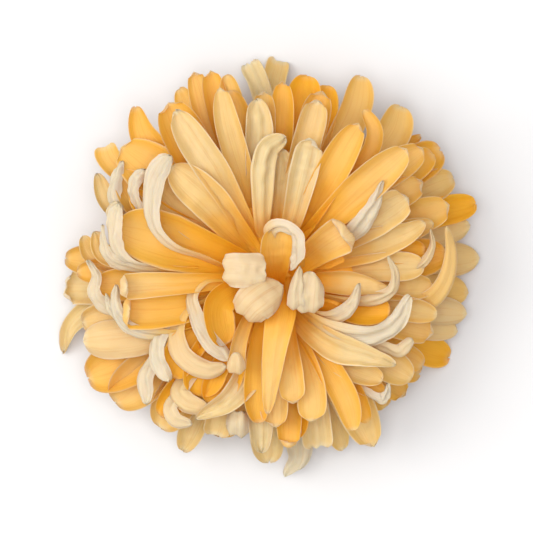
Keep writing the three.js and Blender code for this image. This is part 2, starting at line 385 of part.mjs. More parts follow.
// Path of a petal's midrib: the root inside the receptacle, then a smooth curve through its points.
// A tip that curls over ends where its bend begins
function midrib(points, curl) {
  const first = points[0];
  const dx = first[0] - heartX;
  const dy = first[1] - heartY;
  const away = Math.hypot(dx, dy);
  const way = points.map((p) => [...p]);
  if (curl) {
    const end = way[way.length - 1];
    const before = way[way.length - 2];
    const gap = Math.hypot(...end.map((v, k) => v - before[k]));
    way[way.length - 1] = end.map((v, k) => v - ((v - before[k]) / gap) * curl[0]);
  }
  if (away > rootRadius && away < 20) {
    const k = rootRadius / away;
    way.unshift([heartX + dx * k, heartY + dy * k, Math.max(first[2] - 0.4, coreBottom + 1)]);
  }
  const ends = [0, 1].map((side) => {
    const a = side ? way[way.length - 1] : way[0];
    const b = side ? way[way.length - 2] : way[1];
    return a.map((v, i) => 2 * v - b[i]);
  });
  const p = [ends[0], ...way, ends[1]];
  const dense = [];
  for (let i = 1; i < p.length - 2; i += 1) {
    const t = [0];
    for (let j = 0; j < 3; j += 1) {
      const gap = Math.hypot(...p[i + j].map((v, k) => v - p[i + j - 1][k]));
      t.push(t[j] + Math.sqrt(gap));
    }
    const mix = (a, b, ta, tb, at) => a.map((v, k) => (v * (tb - at) + b[k] * (at - ta)) / (tb - ta));
    for (let n = 0; n < 12; n += 1) {
      const at = t[1] + ((t[2] - t[1]) * n) / 12;
      const a1 = mix(p[i - 1], p[i], t[0], t[1], at);
      const a2 = mix(p[i], p[i + 1], t[1], t[2], at);
      const a3 = mix(p[i + 1], p[i + 2], t[2], t[3], at);
      const b1 = mix(a1, a2, t[0], t[2], at);
      const b2 = mix(a2, a3, t[1], t[3], at);
      dense.push(new THREE.Vector3(...mix(b1, b2, t[1], t[2], at)));
    }
  }
  dense.push(new THREE.Vector3(...way[way.length - 1]));
  return dense;
}

// Places along the midrib and round its curl, with their own axes: across the petal and out of its inner
// face. Stations are shares of the way to the curl
function frames(dense, heading, stations, curl) {
  const far = [0];
  for (let i = 1; i < dense.length; i += 1) far.push(far[i - 1] + dense[i].distanceTo(dense[i - 1]));
  const straight = far[far.length - 1];
  const total = straight + (curl ? (curl[0] * curl[1] * Math.PI) / 180 : 0);
  const way = dense.map((_, i) =>
    dense[Math.min(i + 1, dense.length - 1)].clone().sub(dense[Math.max(i - 1, 0)]).normalize(),
  );
  const level = way[0].clone().setZ(0);
  const az = heading === null ? Math.atan2(level.y, level.x) : (heading * Math.PI) / 180;
  let side = new THREE.Vector3(-Math.sin(az), Math.cos(az), 0);
  const out = [];
  let next = 0;
  for (let i = 0; i < dense.length; i += 1) {
    side = side.clone().addScaledVector(way[i], -side.dot(way[i])).normalize();
    while (next < stations.length && far[i] >= stations[next] * straight - 1e-6) {
      const s = (stations[next] * straight) / total;
      out.push({ s, at: dense[i], side, face: way[i].clone().cross(side) });
      next += 1;
    }
  }
  if (!curl) return out;
  const bend = out[out.length - 1];
  const on = way[way.length - 1];
  const steps = Math.ceil(curl[1] / 100);
  for (let step = 1; step <= steps; step += 1) {
    const t = (curl[1] * Math.PI * step) / 180 / steps;
    const at = bend.at.clone().addScaledVector(on, Math.sin(t) * curl[0]);
    at.addScaledVector(bend.face, (1 - Math.cos(t)) * curl[0]);
    const face = bend.face.clone().multiplyScalar(Math.cos(t)).addScaledVector(on, -Math.sin(t));
    out.push({ s: (straight + (total - straight) * (step / steps)) / total, at, side: bend.side, face });
  }
  return out;
}

// Share of the full width at s, 0 at the base and 1 at the tip
function outline(s, tip) {
  const [widest, narrower, end] = tips[tip];
  const grow = 0.36 + 0.64 * Math.min(1, s / widest) ** 0.9;
  if (s <= narrower) return grow;
  const k = (s - narrower) / (1 - narrower);
  const bow = tip === 5 ? Math.sqrt(Math.max(0, 1 - k * k)) : Math.max(0, 1 - k ** 2.2) ** 0.46;
  return grow * (end + (1 - end) * bow * (tip === 1 || tip === 4 ? 1 - 0.35 * k : 1));
}

// One petal as a closed blade, thick on the midrib and thin at both edges
function petal(row, stations) {
  const [, width, cup, rollBase, rollTip, tip, curl, heading, points] = row;
  const verts = [];
  const tris = [];
  const places = frames(midrib(points, curl), heading, stations, curl);
  for (const { s, at, side, face } of places) {
    const roll = ((rollBase + (rollTip - rollBase) * s) * Math.PI) / 180;
    const w = side.clone().multiplyScalar(Math.cos(roll)).addScaledVector(face, Math.sin(roll));
    const n = face.clone().multiplyScalar(Math.cos(roll)).addScaledVector(side, -Math.sin(roll));
    const bend = (cup * Math.PI) / 180;
    const half = (width / 2) * outline(s, tip);
    const edge = at.clone().addScaledVector(n, half * Math.sin(bend));
    const left = edge.clone().addScaledVector(w, half * Math.cos(bend));
    const right = edge.clone().addScaledVector(w, -half * Math.cos(bend));
    const over = at.clone().addScaledVector(n, petalThickness / 2);
    const under = at.clone().addScaledVector(n, -petalThickness / 2);
    for (const v of [left, over, right, under]) verts.push(v.x, v.y, v.z);
  }
  bladeSides(tris, places.length - 1);
  return solid(verts, tris);
}

// Triangles of a blade with four corners at each station, split alike on both faces
function bladeSides(tris, last) {
  for (let i = 0; i < last; i += 1) {
    const a = i * 4;
    const b = a + 4;
    tris.push(a, b, b + 1, a, b + 1, a + 1);
    tris.push(a + 1, b + 1, a + 2, b + 1, b + 2, a + 2);
    tris.push(a + 2, b + 2, b + 3, a + 2, b + 3, a + 3);
    tris.push(a + 3, b + 3, a, b + 3, b, a);
  }
  const e = last * 4;
  tris.push(0, 1, 2, 0, 2, 3, e, e + 2, e + 1, e, e + 3, e + 2);
}

// Closed solid from its corners and triangles, turned the right way out
function solid(verts, tris) {
  const make = (t) =>
    new wasm.Manifold(
      new wasm.Mesh({ numProp: 3, vertProperties: new Float32Array(verts), triVerts: new Uint32Array(t) }),
    );
  const made = make(tris);
  if (made.volume() > 0) return made;
  const turned = [];
  for (let i = 0; i < tris.length; i += 3) turned.push(tris[i], tris[i + 2], tris[i + 1]);
  return make(turned);
}

// Closed solid from a three.js geometry
function fromGeometry(geometry) {
  const bare = geometry.clone();
  bare.deleteAttribute("normal");
  bare.deleteAttribute("uv");
  const merged = mergeVertices(bare, 1e-3);
  return solid(Array.from(merged.attributes.position.array), Array.from(merged.index.array));
}

// Solid of revolution about the flower's axis, from points of radius and height that start and end on it
function turned(profile, sides) {
  const lathe = new THREE.LatheGeometry(profile.map(([r, z]) => new THREE.Vector2(r, z)), sides);
  lathe.rotateX(Math.PI / 2);
  lathe.translate(heartX, heartY, 0);
  return fromGeometry(lathe);
}

// The largest body of a union, without loose scraps and sealed hollows
function whole(parts) {
  const bodies = wasm.Manifold.union(parts).decompose();
  bodies.sort((a, b) => b.volume() - a.volume());
  return bodies[0];
}

// Named mesh of a solid, in its own colour
function toMesh(body, name, color) {
  const { vertProperties, triVerts } = body.getMesh();
  const g = new THREE.BufferGeometry();
  g.setAttribute("position", new THREE.BufferAttribute(new Float32Array(vertProperties), 3));
  g.setIndex(new THREE.BufferAttribute(new Uint32Array(triVerts), 1));
  g.computeVertexNormals();
  const mesh = new THREE.Mesh(g, new THREE.MeshStandardMaterial({ color, roughness: 0.7 }));
  mesh.name = name;
  return mesh;
}

// All ray florets in their layers, rooted in the receptacle
function makeBloom() {
  const parts = [turned(coreProfile, 12)];
  const winding = [0, 0.4, 0.6, 0.74, 0.87, 1];
  const plain = [0, 0.5, 0.86, 1];
  const bent = [0, 0.4, 0.75, 1];
  const low = [0, 0.6, 1];
  for (const row of shownPetals) {
    const straight = row[6] ? bent : plain;
    parts.push(petal(row, row[8].length > 5 ? winding : straight));
  }
  rings.forEach((ring, i) => {
    for (const row of ringPetals(ring, i)) parts.push(petal(row, low));
  });
  return whole(parts);
}

// A place on the cup's skin, s 0 at the stem and 1 at the rim: radius, height and the outward slope there
function cupSkin(s) {
  const wide = cupRadius - stemRadius;
  const tall = cupTop - cupBottom;
  const t = (s * Math.PI) / 2;
  const slope = new THREE.Vector2(Math.sin(t) / wide, -Math.cos(t) / tall).normalize();
  return { r: stemRadius + wide * Math.sin(t), z: cupTop - tall * Math.cos(t), slope };
}

// One green bract: a small pointed blade that lies along the cup and lifts off it at its tip
function bract(az, [, , start, end, width, spread]) {
  const out = new THREE.Vector3(Math.cos(az), Math.sin(az), 0);
  const side = new THREE.Vector3(-Math.sin(az), Math.cos(az), 0);
  const verts = [];
  const tris = [];
  const stations = [[0, 0.8, -0.9], [0.5, 1, 0.4], [1, 0.14, spread]];
  for (const [k, wide, lift] of stations) {
    const { r, z, slope } = cupSkin(start + (end - start) * k);
    const off = out.clone().multiplyScalar(slope.x).setZ(slope.y);
    const at = new THREE.Vector3(heartX, heartY, z).addScaledVector(out, r).addScaledVector(off, lift);
    const hug = 0.45 * wide;
    const half = (width / 2) * wide;
    const left = at.clone().addScaledVector(side, half).addScaledVector(off, -hug);
    const right = at.clone().addScaledVector(side, -half).addScaledVector(off, -hug);
    const outer = at.clone().addScaledVector(off, bractThickness / 2);
    const inner = at.clone().addScaledVector(off, -bractThickness / 2 - hug);
    for (const v of [left, outer, right, inner]) verts.push(v.x, v.y, v.z);
  }
  const last = stations.length - 1;
  bladeSides(tris, last);
  return solid(verts, tris);
}

// Green cup under the petals with its bracts in overlapping rows
function makeInvolucre() {
  const skin = [0, 0.25, 0.5, 0.75, 1].map((s) => [cupSkin(s).r, cupSkin(s).z]);
  const parts = [turned([[0, cupBottom], ...skin, [0, cupTop]], 16)];
  bractRows.forEach((row, k) => {
    const [count, first] = row;
    for (let i = 0; i < count; i += 1) {
      const az = first + (i * 360) / count + (draw(k * 50 + i + 2000) - 0.5) * 6;
      parts.push(bract((az * Math.PI) / 180, row));
    }
  });
  return whole(parts);
}

// Short cut stub with shallow ribs
function makeStem() {
  const ring = [];
  const sides = stemRibs * 4;
  for (let i = 0; i < sides; i += 1) {
    const a = (i / sides) * 2 * Math.PI;
    const r = stemRadius - ribDepth + ribDepth * Math.cos(a * stemRibs);
    ring.push(new THREE.Vector2(r * Math.cos(a), r * Math.sin(a)));
  }
  const stub = new THREE.ExtrudeGeometry(new THREE.Shape(ring), {
    depth: stemTop - stemBottom,
    steps: 2,
    bevelEnabled: false,
  });
  stub.translate(heartX, heartY, stemBottom);
  return fromGeometry(stub);
}

const group = new THREE.Group();
group.name = "chrysanthemum";
group.add(toMesh(makeBloom(), "bloom", 0xf2b25a));
group.add(toMesh(makeInvolucre(), "involucre", 0x6f8f3d));
group.add(toMesh(makeStem(), "stem", 0x7d9a4a));

// The bloom settles on the surface with the middle of its box over the origin
const box = new THREE.Box3().setFromObject(group);
group.position.set(-(box.min.x + box.max.x) / 2, -(box.min.y + box.max.y) / 2, -box.min.z);

export default group;
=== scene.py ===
import math
import bpy
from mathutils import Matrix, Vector


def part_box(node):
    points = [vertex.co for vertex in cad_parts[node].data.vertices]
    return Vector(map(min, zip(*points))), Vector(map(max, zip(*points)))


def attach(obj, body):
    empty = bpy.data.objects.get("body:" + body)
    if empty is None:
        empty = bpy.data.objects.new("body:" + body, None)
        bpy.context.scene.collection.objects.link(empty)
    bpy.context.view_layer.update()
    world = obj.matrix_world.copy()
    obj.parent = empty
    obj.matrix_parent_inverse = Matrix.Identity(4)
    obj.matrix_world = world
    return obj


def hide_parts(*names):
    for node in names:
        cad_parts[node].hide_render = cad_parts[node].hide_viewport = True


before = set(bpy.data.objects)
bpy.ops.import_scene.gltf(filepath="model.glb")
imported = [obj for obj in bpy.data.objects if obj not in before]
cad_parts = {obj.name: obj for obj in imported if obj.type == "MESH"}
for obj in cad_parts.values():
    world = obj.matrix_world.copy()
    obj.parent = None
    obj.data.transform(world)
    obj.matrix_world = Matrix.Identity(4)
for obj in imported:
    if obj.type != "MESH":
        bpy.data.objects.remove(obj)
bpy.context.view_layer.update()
print("frame loaded")

mm = 0.001

# The whole flower, in millimetres
flower = {
    "heart": (2, -3),                    # the flower's own axis
    "stemFoot": 0.5,                     # height of the stem's cut end
    "rootRadius": 7,                     # every petal starts this far from the axis, inside the receptacle
    "rootReach": 20,                     # a row that starts further out gets no point at the root
    "rootDrop": 0.4,                     # the root lies this much below the row's first point
    "rootFloor": 13.8,                   # but not under this height
    "curveSteps": 12,                    # between two points of a row
    "curlSteps": 11,
    "stations": 44,                      # along each petal
    "tipCrowding": 1.3,                  # above 1 the stations are closer together towards the tip
}

# The solids stand on the surface with the middle of their box over the origin. How far that moved them
# shows on their stem, which is round the flower's axis
stemLow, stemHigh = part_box("stem")
settle = (stemLow + stemHigh) / 2 / mm - Vector((*flower["heart"], 0))
settle.z = stemLow.z / mm - flower["stemFoot"]

# Petals that the photograph shows, from base to tip:
# name, width, cup in degrees, roll at base and tip, paleness, tip (see tips), radius and degrees of the tip's
# curl or 0, outward heading in degrees where the path doesn't give it, points on the midrib
# Paleness is partly each petal's own cream and partly painted light and shade: higher on lit petals, lower,
# even below nought, on petals that lie in shade, which are painted deep orange
heartPetals = [
    ["c1", 11.5, 22, 0, 0, 0.2, 2, 0, None,
     [[3, -5, 28], [2.2, -1, 34.4], [2, 4, 40], [2.2, 8.6, 43.6], [3, 12.8, 45.2]]],
    ["c1b", 6.2, 4, 180, 180, 1, 0, 0, None,
     [[2.6, 1, 33], [2.2, 5, 38], [1.2, 8.6, 42.4], [0.8, 11.4, 45.6], [2.6, 12.8, 47.4],
      [5.2, 12.6, 48], [7.8, 10.8, 48], [8.8, 7, 47.2], [8, 3.2, 45], [6.8, 0, 43]]],
    ["c2", 11, 5, 0, 0, 0.7, 3, 0, 180,
     [[0, -2, 27], [-7, -0.5, 36.5], [-12.6, -0.5, 42.6], [-13.8, -0.6, 46.2], [-10.8, -0.6, 48.6],
      [-5.6, -0.7, 48.2], [-0.8, -0.6, 46.6]]],
    ["c3", 13.5, 14, 0, 0, 0.6, 0, 0, 230,
     [[1, -5, 27], [-3, -10, 35], [-7.6, -14.2, 41.5], [-7.8, -14.8, 44.5], [-5.2, -11.6, 49],
      [-1, -8.4, 47.8], [4.4, -5.2, 43.8]]],
    ["c4a", 7.5, 12, 0, 0, 0.75, 1, 0, 275,
     [[6, -3, 27], [8, -8.5, 36], [9, -12, 41.6], [9.2, -12.6, 45], [9, -8.6, 47.8], [9.2, -4, 48.4],
      [9.8, 0.4, 46.8]]],
    ["c4b", 10.5, 16, 0, 0, 0.7, 0, 0, 268,
     [[8, -3, 27], [10.2, -9, 35.6], [12, -12.8, 41.2], [12.2, -13.6, 44.8], [12.4, -10, 47],
      [12.8, -5, 47.4], [13.2, -1, 46]]],
    ["c5", 5.5, -8, -100, -130, 0.85, 1, 0, None,
     [[12, -12, 31], [17, -15, 35], [22, -14.4, 38], [26, -11, 41], [27.9, -5, 43]]],
    ["c6", 12.5, 14, 0, 0, 0.45, 0, [3.2, 165], 45,
     [[7, -2, 27], [12, 3, 34], [17, 7, 39.5], [21.5, 10, 42.5], [25.4, 12.4, 43.6]]],
    ["s1", 10, -14, 0, 0, 0.4, 4, 0, None,
     [[4, -5, 30], [4.2, -11, 38.5], [3.2, -17, 42], [1.8, -25, 42.4], [0.8, -33, 41], [0.2, -40, 39.2],
      [-0.2, -45, 37.4]]],
]

northPetals = [
    ["n1", 8.5, -16, 0, 0, 0.95, 0, 0, None,
     [[-1.5, 9, 27], [-1.9, 16, 35], [-1.9, 24, 38.6], [-1.6, 31.4, 40], [0.2, 37.4, 40],
      [5, 40.6, 38.4]]],
    ["n2", 9.5, 13, 0, 0, 0.95, 2, [2.6, 95], None,
     [[5, 9, 28], [7.6, 16, 36], [9.6, 24, 40], [11.2, 31, 41.5], [13.2, 39.4, 40.4]]],
    ["n1b", 8, 13, 0, 0, 0.75, 0, 0, None, [[1.5, 9, 25], [2.4, 18, 32], [3.2, 27, 35], [4.2, 37, 35]]],
    ["n3", 9.5, 16, 0, 0, 0.85, 0, 0, None,
     [[-3, 12, 22], [-3.6, 24, 30], [-3.4, 36, 34.5], [-3.2, 45, 35.5], [-4, 52.6, 34.5]]],
    ["n3b", 8.5, 19, 0, 0, 0.4, 2, [2, 50], None,
     [[-2, 14, 18], [-2.4, 30, 26], [-2, 44, 30], [-1.6, 55.8, 29.5]]],
    ["n4", 9.5, 26, 0, 0, 0.55, 5, [2, 50], None,
     [[-3, 12, 24], [-6, 22, 32], [-10.4, 36, 37], [-13.4, 47, 38], [-15, 56.4, 36.5]]],
    ["n4b", 13, 28, 0, 0, 0.2, 0, 0, None,
     [[-2.5, 12, 20], [-6, 28, 27], [-9.6, 42, 30.5], [-12.4, 55.6, 30.5]]],
    ["n5", 9, 26, 0, 0, 0.3, 0, 0, None,
     [[-3, 14, 18], [-6.4, 30, 25], [-10, 45, 28], [-13.2, 60.6, 26.5]]],
    ["n6", 10, 32, 0, 0, 0.15, 2, [2, 50], None,
     [[-4, 13, 17], [-9, 30, 23], [-14.5, 46, 25.5], [-18.6, 62.2, 24]]],
    ["n6b", 9.5, 26, 0, 0, 0.3, 0, [2, 50], None,
     [[-5, 13, 15.5], [-12.4, 30, 19], [-18.6, 46, 20.5], [-23.6, 62, 18]]],
    ["n6c", 9, 22, 0, 0, 0.3, 0, 0, None,
     [[-6, 12, 15], [-14.6, 28, 17.5], [-22, 42, 17.5], [-28, 56.6, 14]]],
    ["n7", 11.5, 22, 0, 0, 0.8, 5, [3.4, 50], None,
     [[-5, 9, 27], [-10, 18, 34], [-17, 30, 39], [-23, 39, 40.5], [-29.6, 49.6, 40]]],
    ["n8", 13, 16, 0, 0, 0.6, 5, 0, None,
     [[-6, 7, 27], [-12, 13.5, 33], [-19, 21.5, 38], [-30.4, 31.6, 39.4]]],
    ["n9", 17, 30, 0, 0, 0.15, 0, [2, 50], None,
     [[-6, 9, 21], [-14.6, 22, 28], [-23.4, 36, 32], [-31.8, 52, 32]]],
    ["n10", 18, 16, 0, 0, 0.15, 4, 0, None,
     [[-8, 8, 18], [-21, 20.5, 24], [-32.4, 32.6, 26.5], [-39.4, 42, 26], [-41.6, 50.6, 24]]],
    ["n11", 18.5, 16, 0, 0, 0.2, 5, [2, 50], None,
     [[-9, 7, 19], [-21.6, 17.8, 26], [-33.4, 28.2, 29.5], [-46.4, 38.2, 29]]],
    ["n12", 13, 16, 0, 0, 0.4, 5, 0, None,
     [[-7, 5, 22], [-15, 10, 28.5], [-25, 17, 33], [-34.6, 27.4, 33.5]]],
    ["nt1", 7, 10, 0, 0, 1, 3, 0, None,
     [[-1, 14, 14.5], [-1.2, 32, 15], [-1.2, 50, 13], [-3, 57.6, 10.5], [-6.2, 64.4, 7]]],
    ["nt2", 7.8, 13, 0, 0, 0.6, 3, 0, None,
     [[1, 14, 14], [0.8, 32, 14.5], [1, 50, 10], [1.8, 58.6, 5.4], [3.4, 65.2, 0.55]]],
    ["nt3", 8.5, 22, 0, 0, 0.1, 0, [2, 50], None,
     [[2, 14, 19], [3, 28, 24], [4, 44, 27], [4.4, 58.8, 25.5]]],
    ["ne3", 12.5, 19, 0, 0, -0.3, 2, 0, None,
     [[3, 13, 17], [5.6, 28, 20], [9, 44, 21.5], [12.2, 60.4, 19]]],
    ["ne4", 10.5, 26, 0, 0, 0.65, 2, [2.6, 50], None,
     [[4, 11, 24], [8, 26, 32], [11.4, 38, 35.5], [13.6, 46, 36], [15.4, 53, 35.5]]],
    ["ne4b", 11, 24, 0, 0, 0.2, 2, [2, 50], None,
     [[4, 12, 20], [9, 28, 28], [12.8, 42, 31.4], [16.6, 55.6, 31]]],
    ["ne1", 11, 22, 0, 0, 0.35, 2, 0, None,
     [[5, 12, 17], [14, 27, 20.5], [23.4, 42, 20.5], [27.4, 51, 19], [29, 60.4, 17]]],
    ["ne6", 11.5, 19, 0, 0, -0.25, 0, 0, None,
     [[4, 12, 16], [10, 30, 19], [15, 44, 20], [18.6, 57.4, 17.5]]],
    ["ne2", 13, 22, 0, 0, 0.4, 2, 0, None,
     [[7, 11, 17], [20, 24, 20.5], [33, 36, 20], [38.8, 43, 18.5], [41.2, 51, 16.5]]],
    ["ne7", 9.5, 19, 0, 0, 0.1, 1, 0, None,
     [[8, 10, 15], [22, 22.6, 17.5], [35, 33.6, 16.5], [47.6, 41.6, 12]]],
    ["ne5", 6.5, 26, 0, 0, 0.25, 0, 0, None,
     [[6, 10, 22], [16, 20, 27], [25, 29, 30.5], [31.5, 36.5, 32], [33, 43, 32.5], [29.6, 49.6, 32.5]]],
]

eastPetals = [
    ["e4", 12, 26, 0, 0, 0.2, 5, [2, 50], None,
     [[8, 9, 27], [13, 18, 34], [19, 29, 39], [24, 38, 41], [28.4, 45.2, 41]]],
    ["e4b", 9.5, 16, 0, 0, -0.2, 0, 0, None,
     [[6, 5, 26], [10.6, 13, 32], [15.6, 22, 35], [20, 32, 36]]],
    ["e3", 12.5, 22, 0, 0, 0.35, 5, [2.2, 50], None,
     [[9, 6, 27], [16, 13, 34], [25, 21.5, 39], [34, 29.5, 41], [43.4, 37.4, 41]]],
    ["e3b", 12, 22, 0, 0, 0.3, 0, [2, 50], None,
     [[8, 7, 22], [20, 17, 28], [33, 28, 31.5], [48.6, 37.6, 31]]],
    ["e3c", 12, 19, 0, 0, 0.1, 0, 0, None, [[8, 7, 16], [22, 17, 20], [36, 27, 20.5], [51.6, 36, 17]]],
    ["e2", 7, -8, -135, -145, 0.95, 1, 0, None,
     [[18, 6, 33.5], [26, 11, 40], [30.6, 16, 43], [33.6, 21.6, 43.6], [35.4, 27.2, 42.4]]],
    ["e5", 12, 19, 0, 0, 0.65, 2, [2, 50], None,
     [[11, 3, 26], [20, 8, 32], [31, 14, 36.5], [38, 18.6, 37.5], [43.6, 22.4, 37.4]]],
    ["e5b", 11.5, 26, 0, 0, 0.35, 0, [2, 50], None,
     [[10, 6, 22], [22, 13, 28], [35, 21, 31], [48.4, 27, 30]]],
    ["e6", 12.5, 19, 0, 0, 0.6, 1, 0, None,
     [[12, 1, 25], [24, 5, 31], [36, 8.6, 34.5], [43, 11, 35.2], [48.6, 14.4, 34.6]]],
    ["e6r", 4.2, 12, -120, -140, 0.6, 1, 0, None,
     [[19, -2, 21], [34, -2.4, 26], [44, -1, 31], [49, 2, 34], [51.4, 7, 35.5], [50.4, 12.4, 36]]],
    ["e7", 8.5, 16, 0, 0, -0.1, 0, 0, None,
     [[12, -1, 23], [26, 2, 27.4], [38, 5, 30.2], [48.8, 6, 29.4]]],
    ["e8", 10, 16, 0, 0, 0.6, 0, 0, None,
     [[12, -2, 24], [26, 0, 29.4], [38, 0.6, 32.4], [48.6, 0.8, 33]]],
    ["e9", 10.5, 22, 0, 0, 0.45, 5, [2, 50], None,
     [[12, -4, 20], [26, -4, 25], [40, -5.4, 27.5], [52.2, -6, 27]]],
    ["e10", 11, 38, 0, 0, 0.6, 1, 0, None,
     [[11, -4, 27], [19, -4.4, 33.4], [28, -5, 36.4], [37.8, -6.6, 37.6]]],
    ["e10r", 5, -6, -110, -140, 0.7, 1, 0, None,
     [[16, -8, 31], [24, -10, 35], [32, -10.4, 37.5], [38.4, -7.4, 39], [39.6, -2, 40.4],
      [37, 3.8, 41]]],
    ["e13", 14, 22, 0, 0, 0.1, 0, 0, None,
     [[13, -2, 18], [28, 0, 22], [42, 2.4, 24], [55.6, 4.6, 24.6]]],
    ["e13r", 7.6, -6, -110, -140, 0.25, 1, 0, None,
     [[20, -9, 17], [34, -12, 20], [45.2, -12, 24.2], [52, -9, 28], [55.8, -3, 29.5], [57, 5, 30.5],
      [55.6, 13.2, 31]]],
    ["e14", 12.5, 22, 0, 0, 0.3, 0, [2.2, 50], None,
     [[11, 3, 18], [26, 9, 22], [40, 14, 24.5], [57, 19.8, 25]]],
    ["e14b", 8, 22, 0, 0, 0.5, 0, 0, None,
     [[12, 2, 20], [28, 7, 25], [40, 11, 28.4], [51.6, 14, 30.4]]],
    ["e15", 10, 16, 0, 0, -0.6, 2, 0, None,
     [[13, 5, 15], [30, 10.5, 16.5], [46, 15.8, 14], [65.2, 20.4, 8.5]]],
    ["e15b", 12, 12, 180, 180, 0.35, 0, 0, None,
     [[14, 0, 14.5], [32, 1, 14.5], [48, 2.2, 11], [66.6, 3.4, 5.4]]],
    ["e15c", 10.5, 12, 180, 180, 0.35, 0, 0, None,
     [[13, 2, 15], [30, 6, 16.5], [46, 10, 14.5], [63.4, 13.4, 9.5]]],
    ["e15e", 12, 19, 0, 0, 0.5, 0, 0, None,
     [[12, 5, 14.5], [29, 14.4, 17], [43.6, 22.4, 15.5], [58, 28.4, 10.6]]],
    ["e15d", 13.5, 19, 0, 0, 0.1, 2, 0, None,
     [[10, 7, 14.5], [26, 17.6, 17], [40, 28.4, 16.5], [54, 37.2, 12]]],
    ["e16", 8.5, 16, 0, 0, 0.5, 0, 0, None,
     [[13, -6, 19], [27, -9, 24], [40, -12, 27], [52.6, -14.6, 26]]],
    ["e17", 10.5, 19, 0, 0, 0.4, 2, [2.6, 50], None,
     [[12, -7, 17], [27, -12, 21.5], [40, -17, 24], [52, -20.4, 23.4]]],
    ["e18", 12, 12, 180, 180, 0.15, 0, 0, None,
     [[13, -3, 14.5], [30, -5, 15], [45, -6.4, 12], [63, -7.4, 6.5]]],
    ["e19", 11, 12, 180, 180, 0.45, 0, 0, None,
     [[13, -5, 15], [28, -9, 17], [43, -12.6, 15], [62.4, -14.4, 10]]],
    ["e20", 9.5, 12, 180, 180, 0.4, 0, 0, None,
     [[12, -6, 14.5], [28, -12, 16], [43, -16.6, 13.5], [59.6, -19.8, 8.4]]],
]

southEastPetals = [
    ["se1", 9.5, -8, -110, -140, 0.95, 1, 0, None,
     [[10, -12, 31], [16, -17, 34.5], [24, -20.6, 37], [32, -21, 39], [39, -17.4, 40.5],
      [44, -8.6, 41.4]]],
    ["se1f", 11.5, 19, 0, 0, -0.2, 0, 0, None,
     [[10, -9, 25], [20, -11, 30], [30, -13, 33], [38, -13.4, 35]]],
    ["se2", 10.5, 13, 0, 0, 0.85, 1, 0, None,
     [[8, -14, 27], [14, -20.5, 33], [22, -25.4, 36.4], [30, -27.6, 38], [39.2, -30, 37.4]]],
    ["se3", 8.5, 16, 0, 0, 0.5, 0, 0, None,
     [[8, -15, 24], [15, -23, 29], [23, -30, 32.5], [35.6, -35, 33]]],
    ["se4", 5, 12, -90, -130, 0.7, 0, 0, None,
     [[15, -13, 25], [26, -19, 30], [35, -24.4, 32.4], [41, -26.4, 33.6], [45, -22.4, 35]]],
    ["se5", 3.6, 10, -100, -120, 0.95, 0, 0, None,
     [[20, -30, 28], [27, -36, 31], [32, -40, 32.5], [35.6, -41.2, 33.4], [37.4, -38.4, 34],
      [37.2, -36, 34.5]]],
    ["se5f", 8.5, 19, 0, 0, 0.1, 0, 0, None,
     [[8, -14, 20], [18, -26, 26], [27, -34, 29.4], [36, -39.6, 30]]],
    ["se6", 12.5, 22, 0, 0, 0.55, 0, 0, None,
     [[11, -12, 19], [23, -20, 24], [34, -28, 27], [44.8, -34.4, 27]]],
    ["se7", 11, 16, 0, 0, -0.3, 0, 0, None,
     [[11, -8, 15], [26, -15, 17], [41, -22, 13], [56.5, -28, 0.55]]],
    ["se7b", 10.5, 16, 0, 0, 0.2, 0, [2, 50], None,
     [[9, -10, 15], [21, -20, 17.4], [32, -30, 15], [43, -40.4, 11]]],
    ["se7c", 10.5, 19, 0, 0, 0.3, 0, 0, None,
     [[10, -9, 16], [23, -17, 20.4], [35.4, -24.6, 20.4], [48.2, -30.4, 17]]],
    ["se7e", 11, 16, 0, 0, 0.2, 0, 0, None,
     [[7, -11, 14.5], [17.6, -23.4, 16.5], [27.4, -33.6, 14], [37, -43.4, 9.4]]],
    ["se7d", 11, 16, 0, 0, 0.2, 2, 0, None,
     [[9, -9, 14.5], [23, -18.6, 17], [35, -26, 15], [47.4, -33.2, 10]]],
]

